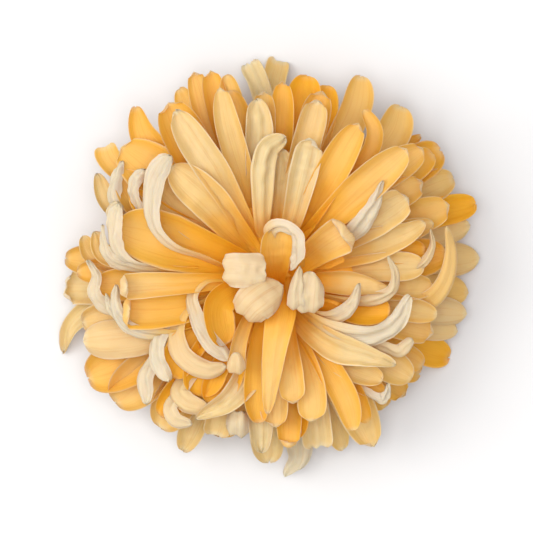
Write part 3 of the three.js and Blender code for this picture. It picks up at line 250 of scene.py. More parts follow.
southPetals = [
    ["s2", 8.5, 19, 0, 0, 0.05, 0, 0, None,
     [[1, -9, 24], [-2.5, -20, 31], [-4, -32, 34], [-4, -41, 33.4], [-3, -48, 32.4]]],
    ["s3", 10, 19, 0, 0, 0.4, 2, [2.6, 50], None,
     [[3, -10, 20], [2.4, -24, 28], [2.2, -38, 32], [2, -50, 32]]],
    ["s4", 9, 16, 0, 0, 0.35, 2, [3.4, 50], None,
     [[5, -12, 26], [5.8, -22, 33], [6.8, -32, 36.2], [8, -42.8, 36.6]]],
    ["s5", 10, 16, 0, 0, 0.35, 2, [3.4, 50], None,
     [[6, -12, 24], [8.5, -22, 30], [12, -32, 34], [13.6, -40, 35.2], [13.4, -48.6, 35]]],
    ["s6", 9.5, 22, 0, 0, 0.2, 5, 0, None,
     [[7, -13, 24], [12.5, -22, 30], [19, -32, 34], [24, -41, 35], [26.4, -50.4, 33.4]]],
    ["s7", 9, 19, 0, 0, 0.05, 5, 0, None,
     [[8, -13, 22], [16, -25, 27.4], [24.4, -37, 30.6], [31, -48, 30]]],
    ["s8", 13.5, 19, 0, 0, 0.6, 5, [3, 50], None,
     [[7, -12, 16], [15.8, -26, 20], [25.2, -40, 20.4], [33, -56.2, 18]]],
    ["s9", 10.5, 16, 0, 0, 0.85, 3, 0, None,
     [[5, -13, 16.5], [9.6, -28, 21.4], [13.6, -42, 22.4], [15.6, -56, 20.6]]],
    ["s9b", 8.5, 16, 0, 0, 0.6, 0, 0, None,
     [[6, -12, 14.5], [13, -28, 16], [18.6, -43, 14], [23.4, -57, 9.5]]],
    ["s10", 14, 22, 180, 180, 0.9, 1, 0, None,
     [[4, -13, 15], [6.4, -30, 15.5], [8.8, -45, 13], [9.8, -55, 10.5], [9.4, -60.8, 8.5],
      [5, -65.6, 6]]],
    ["s11", 12.5, 26, 0, 0, 0.85, 2, 0, None,
     [[1, -12, 15.5], [-0.8, -28, 18], [-1.4, -42, 18.4], [0.2, -60.8, 14.8]]],
    ["s12", 9.5, 26, 0, 0, 0.15, 5, [2.2, 150], None,
     [[3, -12, 18], [5, -28, 23.4], [6.2, -42, 25.4], [6.4, -56, 27.4]]],
    ["s12b", 10, 32, 0, 0, 1, 0, 0, None,
     [[0, -11, 19], [-2.2, -26, 24.6], [-2.8, -42, 26.4], [-2.4, -57.6, 26]]],
    ["s13", 11, 16, 0, 0, -0.35, 0, 0, None,
     [[4, -12, 19], [6.2, -28, 22.4], [7.4, -42, 24.4], [8, -53.4, 23.4]]],
]

southWestPetals = [
    ["sw1", 20, 30, 0, 0, 0.2, 0, 0, None,
     [[-7, -10, 16], [-22, -17, 20], [-36.6, -25.4, 19.6], [-47, -30.4, 17], [-56.6, -34.4, 14.6]]],
    ["sw2", 19, 28, 0, 0, 0.4, 0, 0, None,
     [[-6, -11, 15.5], [-20, -20, 19], [-33.4, -29.8, 19], [-48.2, -42, 16]]],
    ["sw3", 6.6, -6, -110, -140, 0.9, 0, 0, None,
     [[-14, -13, 22], [-25, -19.6, 26], [-34, -26, 28.4], [-38.4, -33, 29.6], [-38.4, -42.4, 30]]],
    ["sw4", 6, -6, -120, -150, 0.95, 0, 0, None,
     [[-16, -11, 29], [-25, -13.6, 32.4], [-31.6, -17.6, 34], [-34.8, -23, 35], [-34.6, -29, 35.6],
      [-31, -35, 35.4]]],
    ["sw5", 6.6, -6, -120, -150, 0.55, 0, 0, None,
     [[-14, -7, 32], [-22, -10, 34.4], [-27.4, -14.4, 35.4], [-29.2, -20.4, 36], [-27.6, -26.4, 36.8],
      [-23.6, -30.2, 37.4], [-18.4, -31.8, 37.8], [-13.2, -30.4, 38]]],
    ["sw5f", 12, 16, 0, 0, -0.25, 0, 0, None,
     [[-6, -8, 26], [-14, -13, 30.5], [-21.6, -19.4, 32.6], [-27, -26, 33], [-30, -34, 32]]],
    ["sw6b", 11, 19, 0, 0, -0.4, 0, 0, None,
     [[-3, -8, 24], [-8.6, -14, 30], [-14.6, -20, 32.5], [-20.4, -26, 32]]],
    ["sw5g", 15, 19, 0, 0, -0.45, 0, 0, None,
     [[-6, -9, 24], [-13, -18, 30], [-18.8, -28, 32], [-22, -39.8, 31]]],
    ["sw6", 12.5, 19, 0, 0, 0, 0, 0, None,
     [[-4, -6, 28], [-11.6, -7, 35], [-16.4, -11.4, 38], [-16.4, -18, 39], [-14, -24, 38]]],
    ["sw6r", 6, -6, -110, -140, 0.9, 0, 0, None,
     [[-12, -3.6, 33], [-20, -3.4, 36], [-24, -8, 37.4], [-22.6, -15, 38.5], [-18.5, -22.5, 39.5],
      [-12.4, -28.4, 39]]],
    ["sw7", 6.4, 19, 0, 0, 0.55, 0, 0, 250,
     [[-3, -10, 27], [-7, -17, 34], [-9.6, -24, 38], [-10.4, -30, 40.4], [-10.4, -32.6, 43.4],
      [-10.2, -29.4, 46], [-10.2, -26, 46.6]]],
    ["sw8", 7.4, -5, -110, -140, 0.5, 0, 0, None,
     [[-12, -14, 24], [-19, -25, 28.6], [-25.4, -33, 30.6], [-28.4, -38.6, 32], [-25.4, -42, 33],
      [-19, -43.6, 33.6]]],
    ["sw8b", 6.2, -6, -110, -140, 0.7, 0, 0, None,
     [[-10, -15, 22], [-19, -27, 27], [-27, -38, 29], [-31.4, -43.6, 30.4], [-29, -47.6, 31.4],
      [-24, -48.4, 32]]],
    ["sw8f", 10.5, 19, 0, 0, -0.15, 0, 0, None,
     [[-9, -13, 19], [-18, -25, 24.6], [-26, -36, 26.4], [-34, -46, 24.6]]],
    ["sw9", 17, 29, 0, 0, 0.5, 0, 0, None,
     [[-6, -12, 15.5], [-16, -25, 19], [-26, -37, 18.6], [-34, -50, 16]]],
    ["sw10", 9.5, 22, 0, 0, 0.75, 0, 0, None,
     [[-5, -12, 15], [-13, -27, 17], [-20.4, -42, 15], [-27, -57.4, 10]]],
    ["sw11", 9.8, 13, 0, 0, 0.9, 1, 0, None,
     [[0, -10, 20], [-2.4, -22, 27], [-6.2, -33.4, 32], [-12.4, -41.4, 34.4], [-22.6, -46.8, 35]]],
    ["sw12", 8.2, 19, 0, 0, 0.75, 3, 0, None,
     [[-2, -11, 19], [-5.4, -25, 24.6], [-8.6, -40, 26.4], [-10, -50.4, 26.8], [-10.2, -52.4, 29.5],
      [-10, -49, 32.6], [-9.8, -44.4, 32]]],
    ["sw13", 9.5, 19, 0, 0, 0.7, 3, 0, None,
     [[-3, -12, 17], [-9, -26, 21.6], [-13.4, -39, 23], [-16.8, -52.4, 22]]],
    ["sw14", 12.5, 19, 0, 0, -0.3, 0, 0, None,
     [[-3, -10, 24], [-8, -21, 30], [-12.8, -31, 31.6], [-18, -42.4, 30]]],
]

westPetals = [
    ["w1", 7.5, -9, 100, 135, 0.95, 2, 0, None,
     [[-14, 1, 33], [-21.5, 4, 36], [-30, 7, 38.5], [-35.2, 12, 40], [-36.8, 18, 41], [-36.4, 24, 41.5],
      [-34.6, 30, 41.5], [-30.6, 35.4, 41]]],
    ["w2", 5, 12, 100, 130, 0.95, 2, 0, None,
     [[-24, 9, 29], [-33, 12, 32], [-39.6, 17, 34], [-42.6, 23, 35], [-41.6, 28.6, 36],
      [-38.6, 30.8, 36.4]]],
    ["w2f", 10.5, 19, 0, 0, 0, 5, 0, None,
     [[-9, 4, 22], [-22, 10, 29], [-34, 16, 32.4], [-43, 24, 33]]],
    ["w3", 6, 12, 90, 125, 0.95, 1, 0, None,
     [[-30, 12, 27], [-42, 15.4, 29.4], [-48.6, 20.6, 31], [-48.6, 27, 32], [-46, 33.6, 32]]],
    ["w3f", 15, 22, 0, 0, 0.25, 5, 0, None,
     [[-9, 5, 20], [-24, 11, 26], [-37, 19, 29], [-46.6, 30, 29.4]]],
    ["w4", 7.5, 24, 0, 10, 0.75, 0, 0, None,
     [[-8, 4, 16], [-24, 9.5, 20], [-39.8, 15, 22], [-50, 20.4, 23], [-54, 29.6, 23]]],
    ["w5", 8.5, 19, 0, 0, 0.3, 3, 0, None,
     [[-8, 6, 15.5], [-22, 14, 19], [-38, 25, 20], [-49.4, 34, 18], [-51.2, 38.4, 16.6]]],
    ["w6", 6.2, -6, 90, 120, 0.75, 2, 0, None,
     [[-32, 8, 27.6], [-41, 10, 30], [-47, 13.4, 32], [-49, 17, 33.4], [-46.6, 20.6, 34]]],
    ["w7", 19.5, 22, 0, 0, 0.2, 5, 0, None,
     [[-6, 0.6, 26], [-16, 3.6, 31.4], [-27, 7.2, 34], [-37, 10.4, 35], [-47.4, 13, 35]]],
    ["w7r", 6.2, -8, 90, 130, 0.9, 2, 0, None,
     [[-22, 0.4, 34], [-32, 0.8, 35.5], [-40, 1.4, 37], [-46.2, 4.4, 38.5], [-48.4, 10, 39.5],
      [-48, 15, 40], [-47, 20, 40]]],
    ["w8a", 6.5, -6, 90, 130, 0.9, 1, 0, None,
     [[-22, -1.4, 32.4], [-34, -0.6, 34], [-43, 0, 35.4], [-49.4, 3, 36.6], [-51.6, 8, 37.4],
      [-51.8, 13.4, 37.6]]],
    ["w8b", 6.5, 19, 0, 12, 0.5, 2, 0, None,
     [[-10, 2, 18], [-28, 1.6, 23], [-43, 2, 26], [-52, 4.6, 27.4], [-54.6, 11.6, 28]]],
    ["w8c", 7.5, 19, 0, 8, 0.5, 2, 0, None,
     [[-9, 2, 16.4], [-27, 1, 20], [-43, 1, 22], [-55, 4, 22.4], [-58.4, 10.2, 23]]],
    ["w9", 12, 26, 0, 0, 0.3, 0, 0, None,
     [[-8, 0, 15], [-26, 0.8, 16], [-44, 2.2, 13.6], [-58, 2.8, 9.6], [-63.8, 3.2, 8]]],
    ["w10", 11, 19, 0, 0, 0.2, 5, 0, None,
     [[-8, 0, 17], [-25, -0.5, 21.4], [-42, -0.6, 23.4], [-60, -1, 21]]],
    ["w11", 11.5, 19, 0, 0, 0.8, 3, [2.4, 120], None,
     [[-9, -3, 14.5], [-26, -4.5, 15.5], [-44, -6, 12.6], [-63.4, -6, 8]]],
    ["w12", 6, -6, 100, 150, 0.9, 1, 0, None,
     [[-30, -15, 24], [-42, -14.4, 26], [-50.6, -12.4, 27.6], [-54.6, -7.6, 28.6], [-54, -2.4, 29.4],
      [-56.6, 2.4, 29.6]]],
    ["w12f", 11.5, 19, 0, 0, 0.2, 0, 0, None,
     [[-9, -2, 18], [-25, -4, 23], [-40, -4.8, 26], [-54.4, -5, 26]]],
    ["w13a", 9, 19, 0, 0, 0.5, 2, [3.6, 165], 180,
     [[-5, -3, 28], [-15, -4, 34.4], [-26, -4.6, 38], [-36, -5, 39], [-46.4, -5.8, 39]]],
    ["w13b", 12, 16, 0, 0, 0.15, 2, [3, 165], 180,
     [[-7, -8, 25], [-17, -10.5, 31.4], [-29, -13, 35], [-38, -13.8, 36.2], [-45.6, -13.6, 36.6]]],
    ["w13r", 6.6, -8, 100, 155, 0.95, 1, 0, None,
     [[-20, -17.4, 33], [-31, -20.4, 34.6], [-40, -20, 35.8], [-45.8, -16.2, 37], [-48, -11, 37.8],
      [-47.6, -5, 38]]],
    ["w13s", 4.6, 12, 90, 150, 0.9, 1, 0, None,
     [[-34, -19.6, 34], [-44, -18, 35], [-49.4, -13, 36], [-50.8, -8, 36.4]]],
    ["w14", 13.5, 16, 180, 180, 0.45, 2, 0, None,
     [[-10, -8, 19], [-24, -14.6, 24], [-36, -20, 27], [-47, -22, 27.4], [-58, -22.6, 26]]],
    ["w15", 11, 22, 0, 0, 0.8, 1, 0, None,
     [[-9, -5, 15], [-26, -8, 15.5], [-43, -9.5, 12], [-55.4, -13, 7.6], [-61.6, -18, 4.6],
      [-64.6, -26.4, 0.55]]],
    ["w16", 11.5, 19, 0, 0, 0.6, 2, 0, None,
     [[-9, -5, 17], [-25, -9, 20], [-40, -13.4, 20.4], [-58.6, -16.8, 17]]],
]

# Rings of petals under those shown: count, first heading, reach, width, paleness, heights from base to tip
rings = [
    [10, 4, 52, 12.5, 0.3, [14.3, 13.6, 9.6, 4.4]],
    [9, 14, 51, 12, 0.25, [16.2, 17, 14.6, 9.6]],
    [8, 3, 48, 12, 0.2, [18.4, 21, 21.4, 18.6]],
    [5, 12, 38, 11, 0.15, [21.4, 26, 28, 27]],
]


# A fixed draw from 0 to 1 for every whole number
def draw(k):
    v = math.sin(k * 12.9898 + 78.233) * 43758.5453
    return v - math.floor(v)


# Rows of petals spread evenly round a ring, each a little off in heading, reach, sway and height
def ringPetals(ring, index):
    count, first, reach, width, pale, heights = ring
    heartX, heartY = flower["heart"]
    rows = []
    for i in range(count):
        k = index * 40 + i + 1
        az = math.radians(first + i * 360 / count + (draw(k) - 0.5) * 9)
        far = reach * (0.94 + 0.12 * draw(k + 300))
        sway = (draw(k + 600) - 0.5) * 7
        lift = (draw(k + 900) - 0.5) * 1.6
        points = [
            [
                heartX * (1 - f) + math.cos(az) * far * f - math.sin(az) * sway * f * f,
                heartY * (1 - f) + math.sin(az) * far * f + math.cos(az) * sway * f * f,
                z + lift * f,
            ]
            for f, z in zip((0.24, 0.46, 0.74, 1), heights)
        ]
        rows.append([f"ring{index}_{i}", width, 18, 0, 0, pale, 0, 0, None, points])
    return rows


# Smooth curve through the root and the chosen points; a tip that curls over ends where its bend begins
def midrib(points, curl):
    heart = Vector((*flower["heart"], 0))
    way = [Vector(p) for p in points]
    if curl:
        way[-1] -= (way[-1] - way[-2]).normalized() * curl[0]
    reach = way[0] - heart
    away = math.hypot(reach.x, reach.y)
    if flower["rootRadius"] < away < flower["rootReach"]:
        k = flower["rootRadius"] / away
        z = max(way[0].z - flower["rootDrop"], flower["rootFloor"])
        way.insert(0, Vector((heart.x + reach.x * k, heart.y + reach.y * k, z)))
    p = [2 * way[0] - way[1], *way, 2 * way[-1] - way[-2]]
    dense = []
    for i in range(1, len(p) - 2):
        t = [0]
        for j in range(3):
            t.append(t[j] + math.sqrt((p[i + j] - p[i + j - 1]).length))
        for n in range(flower["curveSteps"]):
            at = t[1] + (t[2] - t[1]) * n / flower["curveSteps"]
            a1 = (p[i - 1] * (t[1] - at) + p[i] * (at - t[0])) / (t[1] - t[0])
            a2 = (p[i] * (t[2] - at) + p[i + 1] * (at - t[1])) / (t[2] - t[1])
            a3 = (p[i + 1] * (t[3] - at) + p[i + 2] * (at - t[2])) / (t[3] - t[2])
            b1 = (a1 * (t[2] - at) + a2 * (at - t[0])) / (t[2] - t[0])
            b2 = (a2 * (t[3] - at) + a3 * (at - t[1])) / (t[3] - t[1])
            dense.append((b1 * (t[2] - at) + b2 * (at - t[1])) / (t[2] - t[1]))
    dense.append(way[-1])
    return dense


# Places on the curve, each with its way along the petal, across it and out of its inner face
def petalFrames(dense, heading, curl):
    first = dense[1] - dense[0]
    az = math.atan2(first.y, first.x) if heading is None else math.radians(heading)
    side = Vector((-math.sin(az), math.cos(az), 0))
    sides = []
    ways = []
    for i, spot in enumerate(dense):
        way = (dense[min(i + 1, len(dense) - 1)] - dense[max(i - 1, 0)]).normalized()
        side = (side - way * side.dot(way)).normalized()
        ways.append(way)
        sides.append(side)
    if curl:
        start, way, face = dense[-1], ways[-1], ways[-1].cross(side)
        for step in range(1, flower["curlSteps"] + 1):
            t = math.radians(curl[1]) * step / flower["curlSteps"]
            dense.append(start + (way * math.sin(t) + face * (1 - math.cos(t))) * curl[0])
            ways.append(way * math.cos(t) + face * math.sin(t))
            sides.append(side)
    far = [0]
    for a, b in zip(dense, dense[1:]):
        far.append(far[-1] + (b - a).length)
    places = []
    count = flower["stations"]
    j = 0
    for i in range(count):
        s = 1 - (1 - i / (count - 1)) ** flower["tipCrowding"]
        want = s * far[-1]
        while j < len(dense) - 2 and far[j + 1] < want:
            j += 1
        k = (want - far[j]) / (far[j + 1] - far[j])
        way = ways[j].lerp(ways[j + 1], k).normalized()
        across = sides[j].lerp(sides[j + 1], k)
        across = (across - way * across.dot(way)).normalized()
        places.append((s, dense[j].lerp(dense[j + 1], k), way, across, way.cross(across)))
    return places


# Kinds of tip: widest from, narrower from, width left at the end
tips = [
    [0.72, 0.8, 0.04],    # 0 round
    [0.62, 0.55, 0.04],   # 1 pointed
    [0.72, 0.84, 0.08],   # 2 blunt
    [0.72, 0.94, 0.6],    # 3 square
    [0.3, 0.3, 0.04],     # 4 long
    [0.62, 0.74, 0.1],    # 5 spoon
]


# Share of the full width at s, 0 at the base and 1 at the tip
def petalOutline(s, tip):
    widest, narrower, end = tips[tip]
    grow = 0.36 + 0.64 * min(1, s / widest) ** 0.9
    if s <= narrower:
        return grow
    k = (s - narrower) / (1 - narrower)
    bow = math.sqrt(max(0, 1 - k * k)) if tip == 5 else max(0, 1 - k ** 2.2) ** 0.46
    if tip in (1, 4):
        bow *= 1 - 0.35 * k
    return grow * (end + (1 - end) * bow)


# Everything that a petal row gives for growing its blade, point by point
def petalLine(row, seed):
    _, width, cup, rollBase, rollTip, pale, tip, curl, heading, points = row
    line = []
    for s, at, way, across, face in petalFrames(midrib(points, curl), heading, curl):
        roll = math.radians(rollBase + (rollTip - rollBase) * s)
        line.append({
            "s": s,
            "half": width / 2 * petalOutline(s, tip) * mm,
            "bend": 2 * math.radians(cup if abs(cup) > 1 else 1),
            "pale": pale,
            "seed": seed,
            "blunt": -0.3 if tip == 5 else float(tip in (2, 3)),
            "middle": (at + settle) * mm,
            "along": way,
            "across": across * math.cos(roll) + face * math.sin(roll),
            "face": face * math.cos(roll) - across * math.sin(roll),
        })
    return line


# A mesh of loose lines whose points carry those values as attributes
def guideMesh(name, lines):
    points = [p for line in lines for p in line]
    edges = []
    for line in lines:
        start = edges[-1][1] + 1 if edges else 0
        edges += [(start + i, start + i + 1) for i in range(len(line) - 1)]
    mesh = bpy.data.meshes.new(name)
    mesh.from_pydata([p["middle"] for p in points], edges, [])
    for key in ("s", "half", "bend", "pale", "seed", "blunt"):
        store = mesh.attributes.new(key, "FLOAT", "POINT")
        store.data.foreach_set("value", [p[key] for p in points])
    for key in ("middle", "along", "across", "face"):
        store = mesh.attributes.new(key, "FLOAT_VECTOR", "POINT")
        store.data.foreach_set("vector", [c for p in points for c in p[key]])
    return mesh


def newNode(tree, kind, **settings):
    node = tree.nodes.new(kind)
    for key, value in settings.items():
        setattr(node, key, value)
    return node


# Joins an output, or sets a plain value, on an input
def feed(tree, value, socket):
    if isinstance(value, bpy.types.NodeSocket):
        tree.links.new(value, socket)
    elif value is not None:
        socket.default_value = value


def calc(tree, operation, *values):
    node = newNode(tree, "ShaderNodeMath", operation=operation)
    for value, socket in zip(values, node.inputs):
        feed(tree, value, socket)
    return node.outputs[0]


def times(tree, first, second):
    return calc(tree, "MULTIPLY", first, second)


def plus(tree, first, second):
    return calc(tree, "ADD", first, second)


def minus(tree, first, second):
    return calc(tree, "SUBTRACT", first, second)


def scaled(tree, vector, amount):
    node = newNode(tree, "ShaderNodeVectorMath", operation="SCALE")
    feed(tree, vector, node.inputs[0])
    feed(tree, amount, node.inputs["Scale"])
    return node.outputs[0]


def added(tree, first, *others):
    total = first
    for other in others:
        node = newNode(tree, "ShaderNodeVectorMath", operation="ADD")
        feed(tree, total, node.inputs[0])
        feed(tree, other, node.inputs[1])
        total = node.outputs[0]
    return total


def smoothRange(tree, value, low, high):
    node = newNode(tree, "ShaderNodeMapRange", interpolation_type="SMOOTHSTEP")
    feed(tree, value, node.inputs["Value"])
    node.inputs["From Min"].default_value = low
    node.inputs["From Max"].default_value = high
    return node.outputs["Result"]


def noiseOn(tree, vector, scale, detail=2):
    node = newNode(tree, "ShaderNodeTexNoise", noise_dimensions="3D")
    feed(tree, vector, node.inputs["Vector"])
    node.inputs["Scale"].default_value = scale
    node.inputs["Detail"].default_value = detail
    return node.outputs[0]


def joined(tree, x, y, z):
    node = newNode(tree, "ShaderNodeCombineXYZ")
    for value, socket in zip((x, y, z), node.inputs):
        feed(tree, value, socket)
    return node.outputs[0]


# The tree that grows a closed blade on every line of guide points
def bladeTree(name):
    tree = bpy.data.node_groups.new(name, "GeometryNodeTree")
    tree.is_modifier = True
    face = tree.interface
    face.new_socket("Geometry", in_out="INPUT", socket_type="NodeSocketGeometry")
    for label, kind in (("Section points", "NodeSocketInt"), ("Thickness", "NodeSocketFloat"),
                        ("Groove depth", "NodeSocketFloat"), ("Ruffle", "NodeSocketFloat"),
                        ("Edge lift", "NodeSocketFloat"), ("Notch", "NodeSocketFloat"),
                        ("Fray", "NodeSocketFloat"), ("Hood", "NodeSocketFloat"),
                        ("Crumple", "NodeSocketFloat"), ("Skin", "NodeSocketMaterial")):
        face.new_socket(label, in_out="INPUT", socket_type=kind)
    face.new_socket("Geometry", in_out="OUTPUT", socket_type="NodeSocketGeometry")
    given = newNode(tree, "NodeGroupInput").outputs

    def named(key, kind="FLOAT"):
        node = newNode(tree, "GeometryNodeInputNamedAttribute", data_type=kind)
        node.inputs["Name"].default_value = key
        return node.outputs["Attribute"]

    def stored(geometry, key, value):
        node = newNode(tree, "GeometryNodeStoreNamedAttribute", data_type="FLOAT", domain="POINT")
        feed(tree, geometry, node.inputs["Geometry"])
        node.inputs["Name"].default_value = key
        feed(tree, value, node.inputs["Value"])
        return node.outputs["Geometry"]

    ring = newNode(tree, "GeometryNodeCurvePrimitiveCircle", mode="RADIUS")
    feed(tree, given["Section points"], ring.inputs["Resolution"])
    ring.inputs["Radius"].default_value = 1
    spot = newNode(tree, "ShaderNodeSeparateXYZ")
    feed(tree, newNode(tree, "GeometryNodeInputPosition").outputs[0], spot.inputs[0])
    section = stored(stored(ring.outputs["Curve"], "u", spot.outputs["X"]), "v", spot.outputs["Y"])

    lines = newNode(tree, "GeometryNodeMeshToCurve")
    feed(tree, given["Geometry"], lines.inputs["Mesh"])
    sweep = newNode(tree, "GeometryNodeCurveToMesh")
    feed(tree, lines.outputs["Curve"], sweep.inputs["Curve"])
    feed(tree, section, sweep.inputs["Profile Curve"])
    sweep.inputs["Fill Caps"].default_value = True

    u, v, s, half, seed, blunt, pale = (named(k) for k in ("u", "v", "s", "half", "seed", "blunt", "pale"))
    # a petal is more cupped towards its tip
    hood = plus(tree, 1, times(tree, smoothRange(tree, s, 0.62, 1), given["Hood"]))
    bend = times(tree, named("bend"), hood)
    turn = times(tree, u, bend)
    radius = calc(tree, "DIVIDE", half, bend)
    sideways = times(tree, radius, calc(tree, "SINE", turn))
    upwards = times(tree, radius, minus(tree, 1, calc(tree, "COSINE", turn)))
    u2 = times(tree, u, u)
    free = smoothRange(tree, s, 0.1, 0.5)

    # two ridges along each petal, fading towards its ends
    ridge = calc(tree, "COSINE", times(tree, u, 6.6))
    ridge = times(tree, ridge, minus(tree, 1, u2))
    ridge = times(tree, ridge, times(tree, given["Groove depth"], free))
    ridge = times(tree, ridge, plus(tree, 0.12, times(tree, pale, pale)))
    # a narrow petal has shallow ridges
    ridge = times(tree, ridge, calc(tree, "MINIMUM", 1, calc(tree, "DIVIDE", half, 5 * mm)))

    # edges that wave a little, each side in its own way
    beat = plus(tree, times(tree, s, 8.5), times(tree, seed, 41))
    beat = plus(tree, beat, times(tree, u, 2.2))
    wave = times(tree, calc(tree, "SINE", beat), times(tree, u2, given["Ruffle"]))
    wave = times(tree, wave, free)

    # slow uneven swell over the whole petal
    place = joined(tree, times(tree, u, 0.7), times(tree, s, 2.6), times(tree, seed, 57))
    swell = minus(tree, noiseOn(tree, place, 1.3, 1), 0.5)
    swell = times(tree, swell, times(tree, free, times(tree, given["Ruffle"], 2.6)))

    skin = times(tree, v, times(tree, given["Thickness"], 0.5))
    skin = times(tree, skin, minus(tree, 1.15, times(tree, s, 0.45)))
    lift = calc(tree, "POWER", smoothRange(tree, calc(tree, "ABSOLUTE", u), 0.45, 1), 1.6)
    lift = times(tree, lift, times(tree, given["Edge lift"], free))
    # a pale petal is creased across towards its tip
    fold = joined(tree, times(tree, u, 1.1), times(tree, s, 9), times(tree, seed, 83))
    crease = times(tree, minus(tree, noiseOn(tree, fold, 1.2), 0.5), given["Crumple"])
    crease = times(tree, crease, times(tree, smoothRange(tree, s, 0.4, 0.8), pale))
    for part in (ridge, wave, swell, lift, crease, skin):
        upwards = plus(tree, upwards, part)

    # the tip is notched, a blunt one more
    nearTip = smoothRange(tree, s, 0.84, 1)
    notchPlace = times(tree, plus(tree, u, times(tree, seed, -0.3)), 3.4)
    notch = calc(tree, "EXPONENT", times(tree, times(tree, notchPlace, notchPlace), -1))
    notch = times(tree, notch, times(tree, given["Notch"], plus(tree, 0.3, blunt)))
    teeth = joined(tree, times(tree, u, 3.2), times(tree, seed, 91), 0)
    torn = times(tree, minus(tree, noiseOn(tree, teeth, 1.6), 0.5), given["Fray"])
    torn = times(tree, torn, times(tree, pale, pale))
    notch = plus(tree, notch, times(tree, torn, pale))
    onward = times(tree, nearTip, times(tree, notch, -1))

    spotNow = added(
        tree,
        named("middle", "FLOAT_VECTOR"),
        scaled(tree, named("across", "FLOAT_VECTOR"), sideways),
        scaled(tree, named("face", "FLOAT_VECTOR"), upwards),
        scaled(tree, named("along", "FLOAT_VECTOR"), onward),
    )
    move = newNode(tree, "GeometryNodeSetPosition")
    feed(tree, sweep.outputs[0], move.inputs["Geometry"])
    feed(tree, spotNow, move.inputs["Position"])
    smooth = newNode(tree, "GeometryNodeSetShadeSmooth")
    feed(tree, move.outputs[0], smooth.inputs[0])
    real = newNode(tree, "GeometryNodeRealizeInstances")
    feed(tree, smooth.outputs[0], real.inputs[0])
    paint = newNode(tree, "GeometryNodeSetMaterial")
    feed(tree, real.outputs[0], paint.inputs["Geometry"])
    feed(tree, given["Skin"], paint.inputs["Material"])
    feed(tree, paint.outputs[0], newNode(tree, "NodeGroupOutput").inputs[0])
    return tree


# Grows the blades on a guide and keeps them as a plain mesh object
def growBlades(name, guide, tree, sizes):
    holder = bpy.data.objects.new(name + "Guide", guide)
    bpy.context.scene.collection.objects.link(holder)
    grow = holder.modifiers.new("grow", "NODES")
    grow.node_group = tree
    ids = {item.name: item.identifier for item in tree.interface.items_tree
           if item.item_type == "SOCKET" and item.in_out == "INPUT"}
    for label, value in sizes.items():
        grow[ids[label]] = value
    seen = holder.evaluated_get(bpy.context.evaluated_depsgraph_get())
    mesh = bpy.data.meshes.new_from_object(seen, preserve_all_data_layers=True,
                                           depsgraph=bpy.context.evaluated_depsgraph_get())
    holder.modifiers.remove(grow)
    bpy.data.objects.remove(holder)
    mesh.name = name
    piece = bpy.data.objects.new(name, mesh)
    bpy.context.scene.collection.objects.link(piece)
    return piece


# Shader helpers
def newMaterial(name):
    material = bpy.data.materials.new(name)
    material.use_nodes = True
    tree = material.node_tree
    return material, tree, tree.nodes["Principled BSDF"]


def own(tree, key):
    return newNode(tree, "ShaderNodeAttribute", attribute_type="GEOMETRY", attribute_name=key).outputs["Fac"]


def blended(tree, amount, first, second, way="MIX"):
    node = newNode(tree, "ShaderNodeMix", data_type="RGBA", blend_type=way)
    feed(tree, amount, node.inputs[0])
    for value, socket in ((first, node.inputs[6]), (second, node.inputs[7])):
        feed(tree, value if isinstance(value, bpy.types.NodeSocket) else (*value, 1), socket)
    return node.outputs[2]


def bumped(tree, shader, height, distance, strength):
    bump = newNode(tree, "ShaderNodeBump")
    bump.inputs["Strength"].default_value = strength
    bump.inputs["Distance"].default_value = distance
    feed(tree, height, bump.inputs["Height"])
    tree.links.new(bump.outputs[0], shader.inputs["Normal"])


petalColours = {
    "innerBase": (0.94, 0.485, 0.016),
    "innerMiddle": (0.91, 0.49, 0.03),
    "innerTip": (0.86, 0.54, 0.11),
    "innerPale": (0.82, 0.66, 0.37),
    "outerBase": (0.85, 0.53, 0.07),
    "outerTip": (0.745, 0.68, 0.525),
    # painted highlight along the edges and tip of every petal
    "rim": (0.82, 0.72, 0.50),
    "veins": (0.78, 0.42, 0.12),         # multiplied in
}
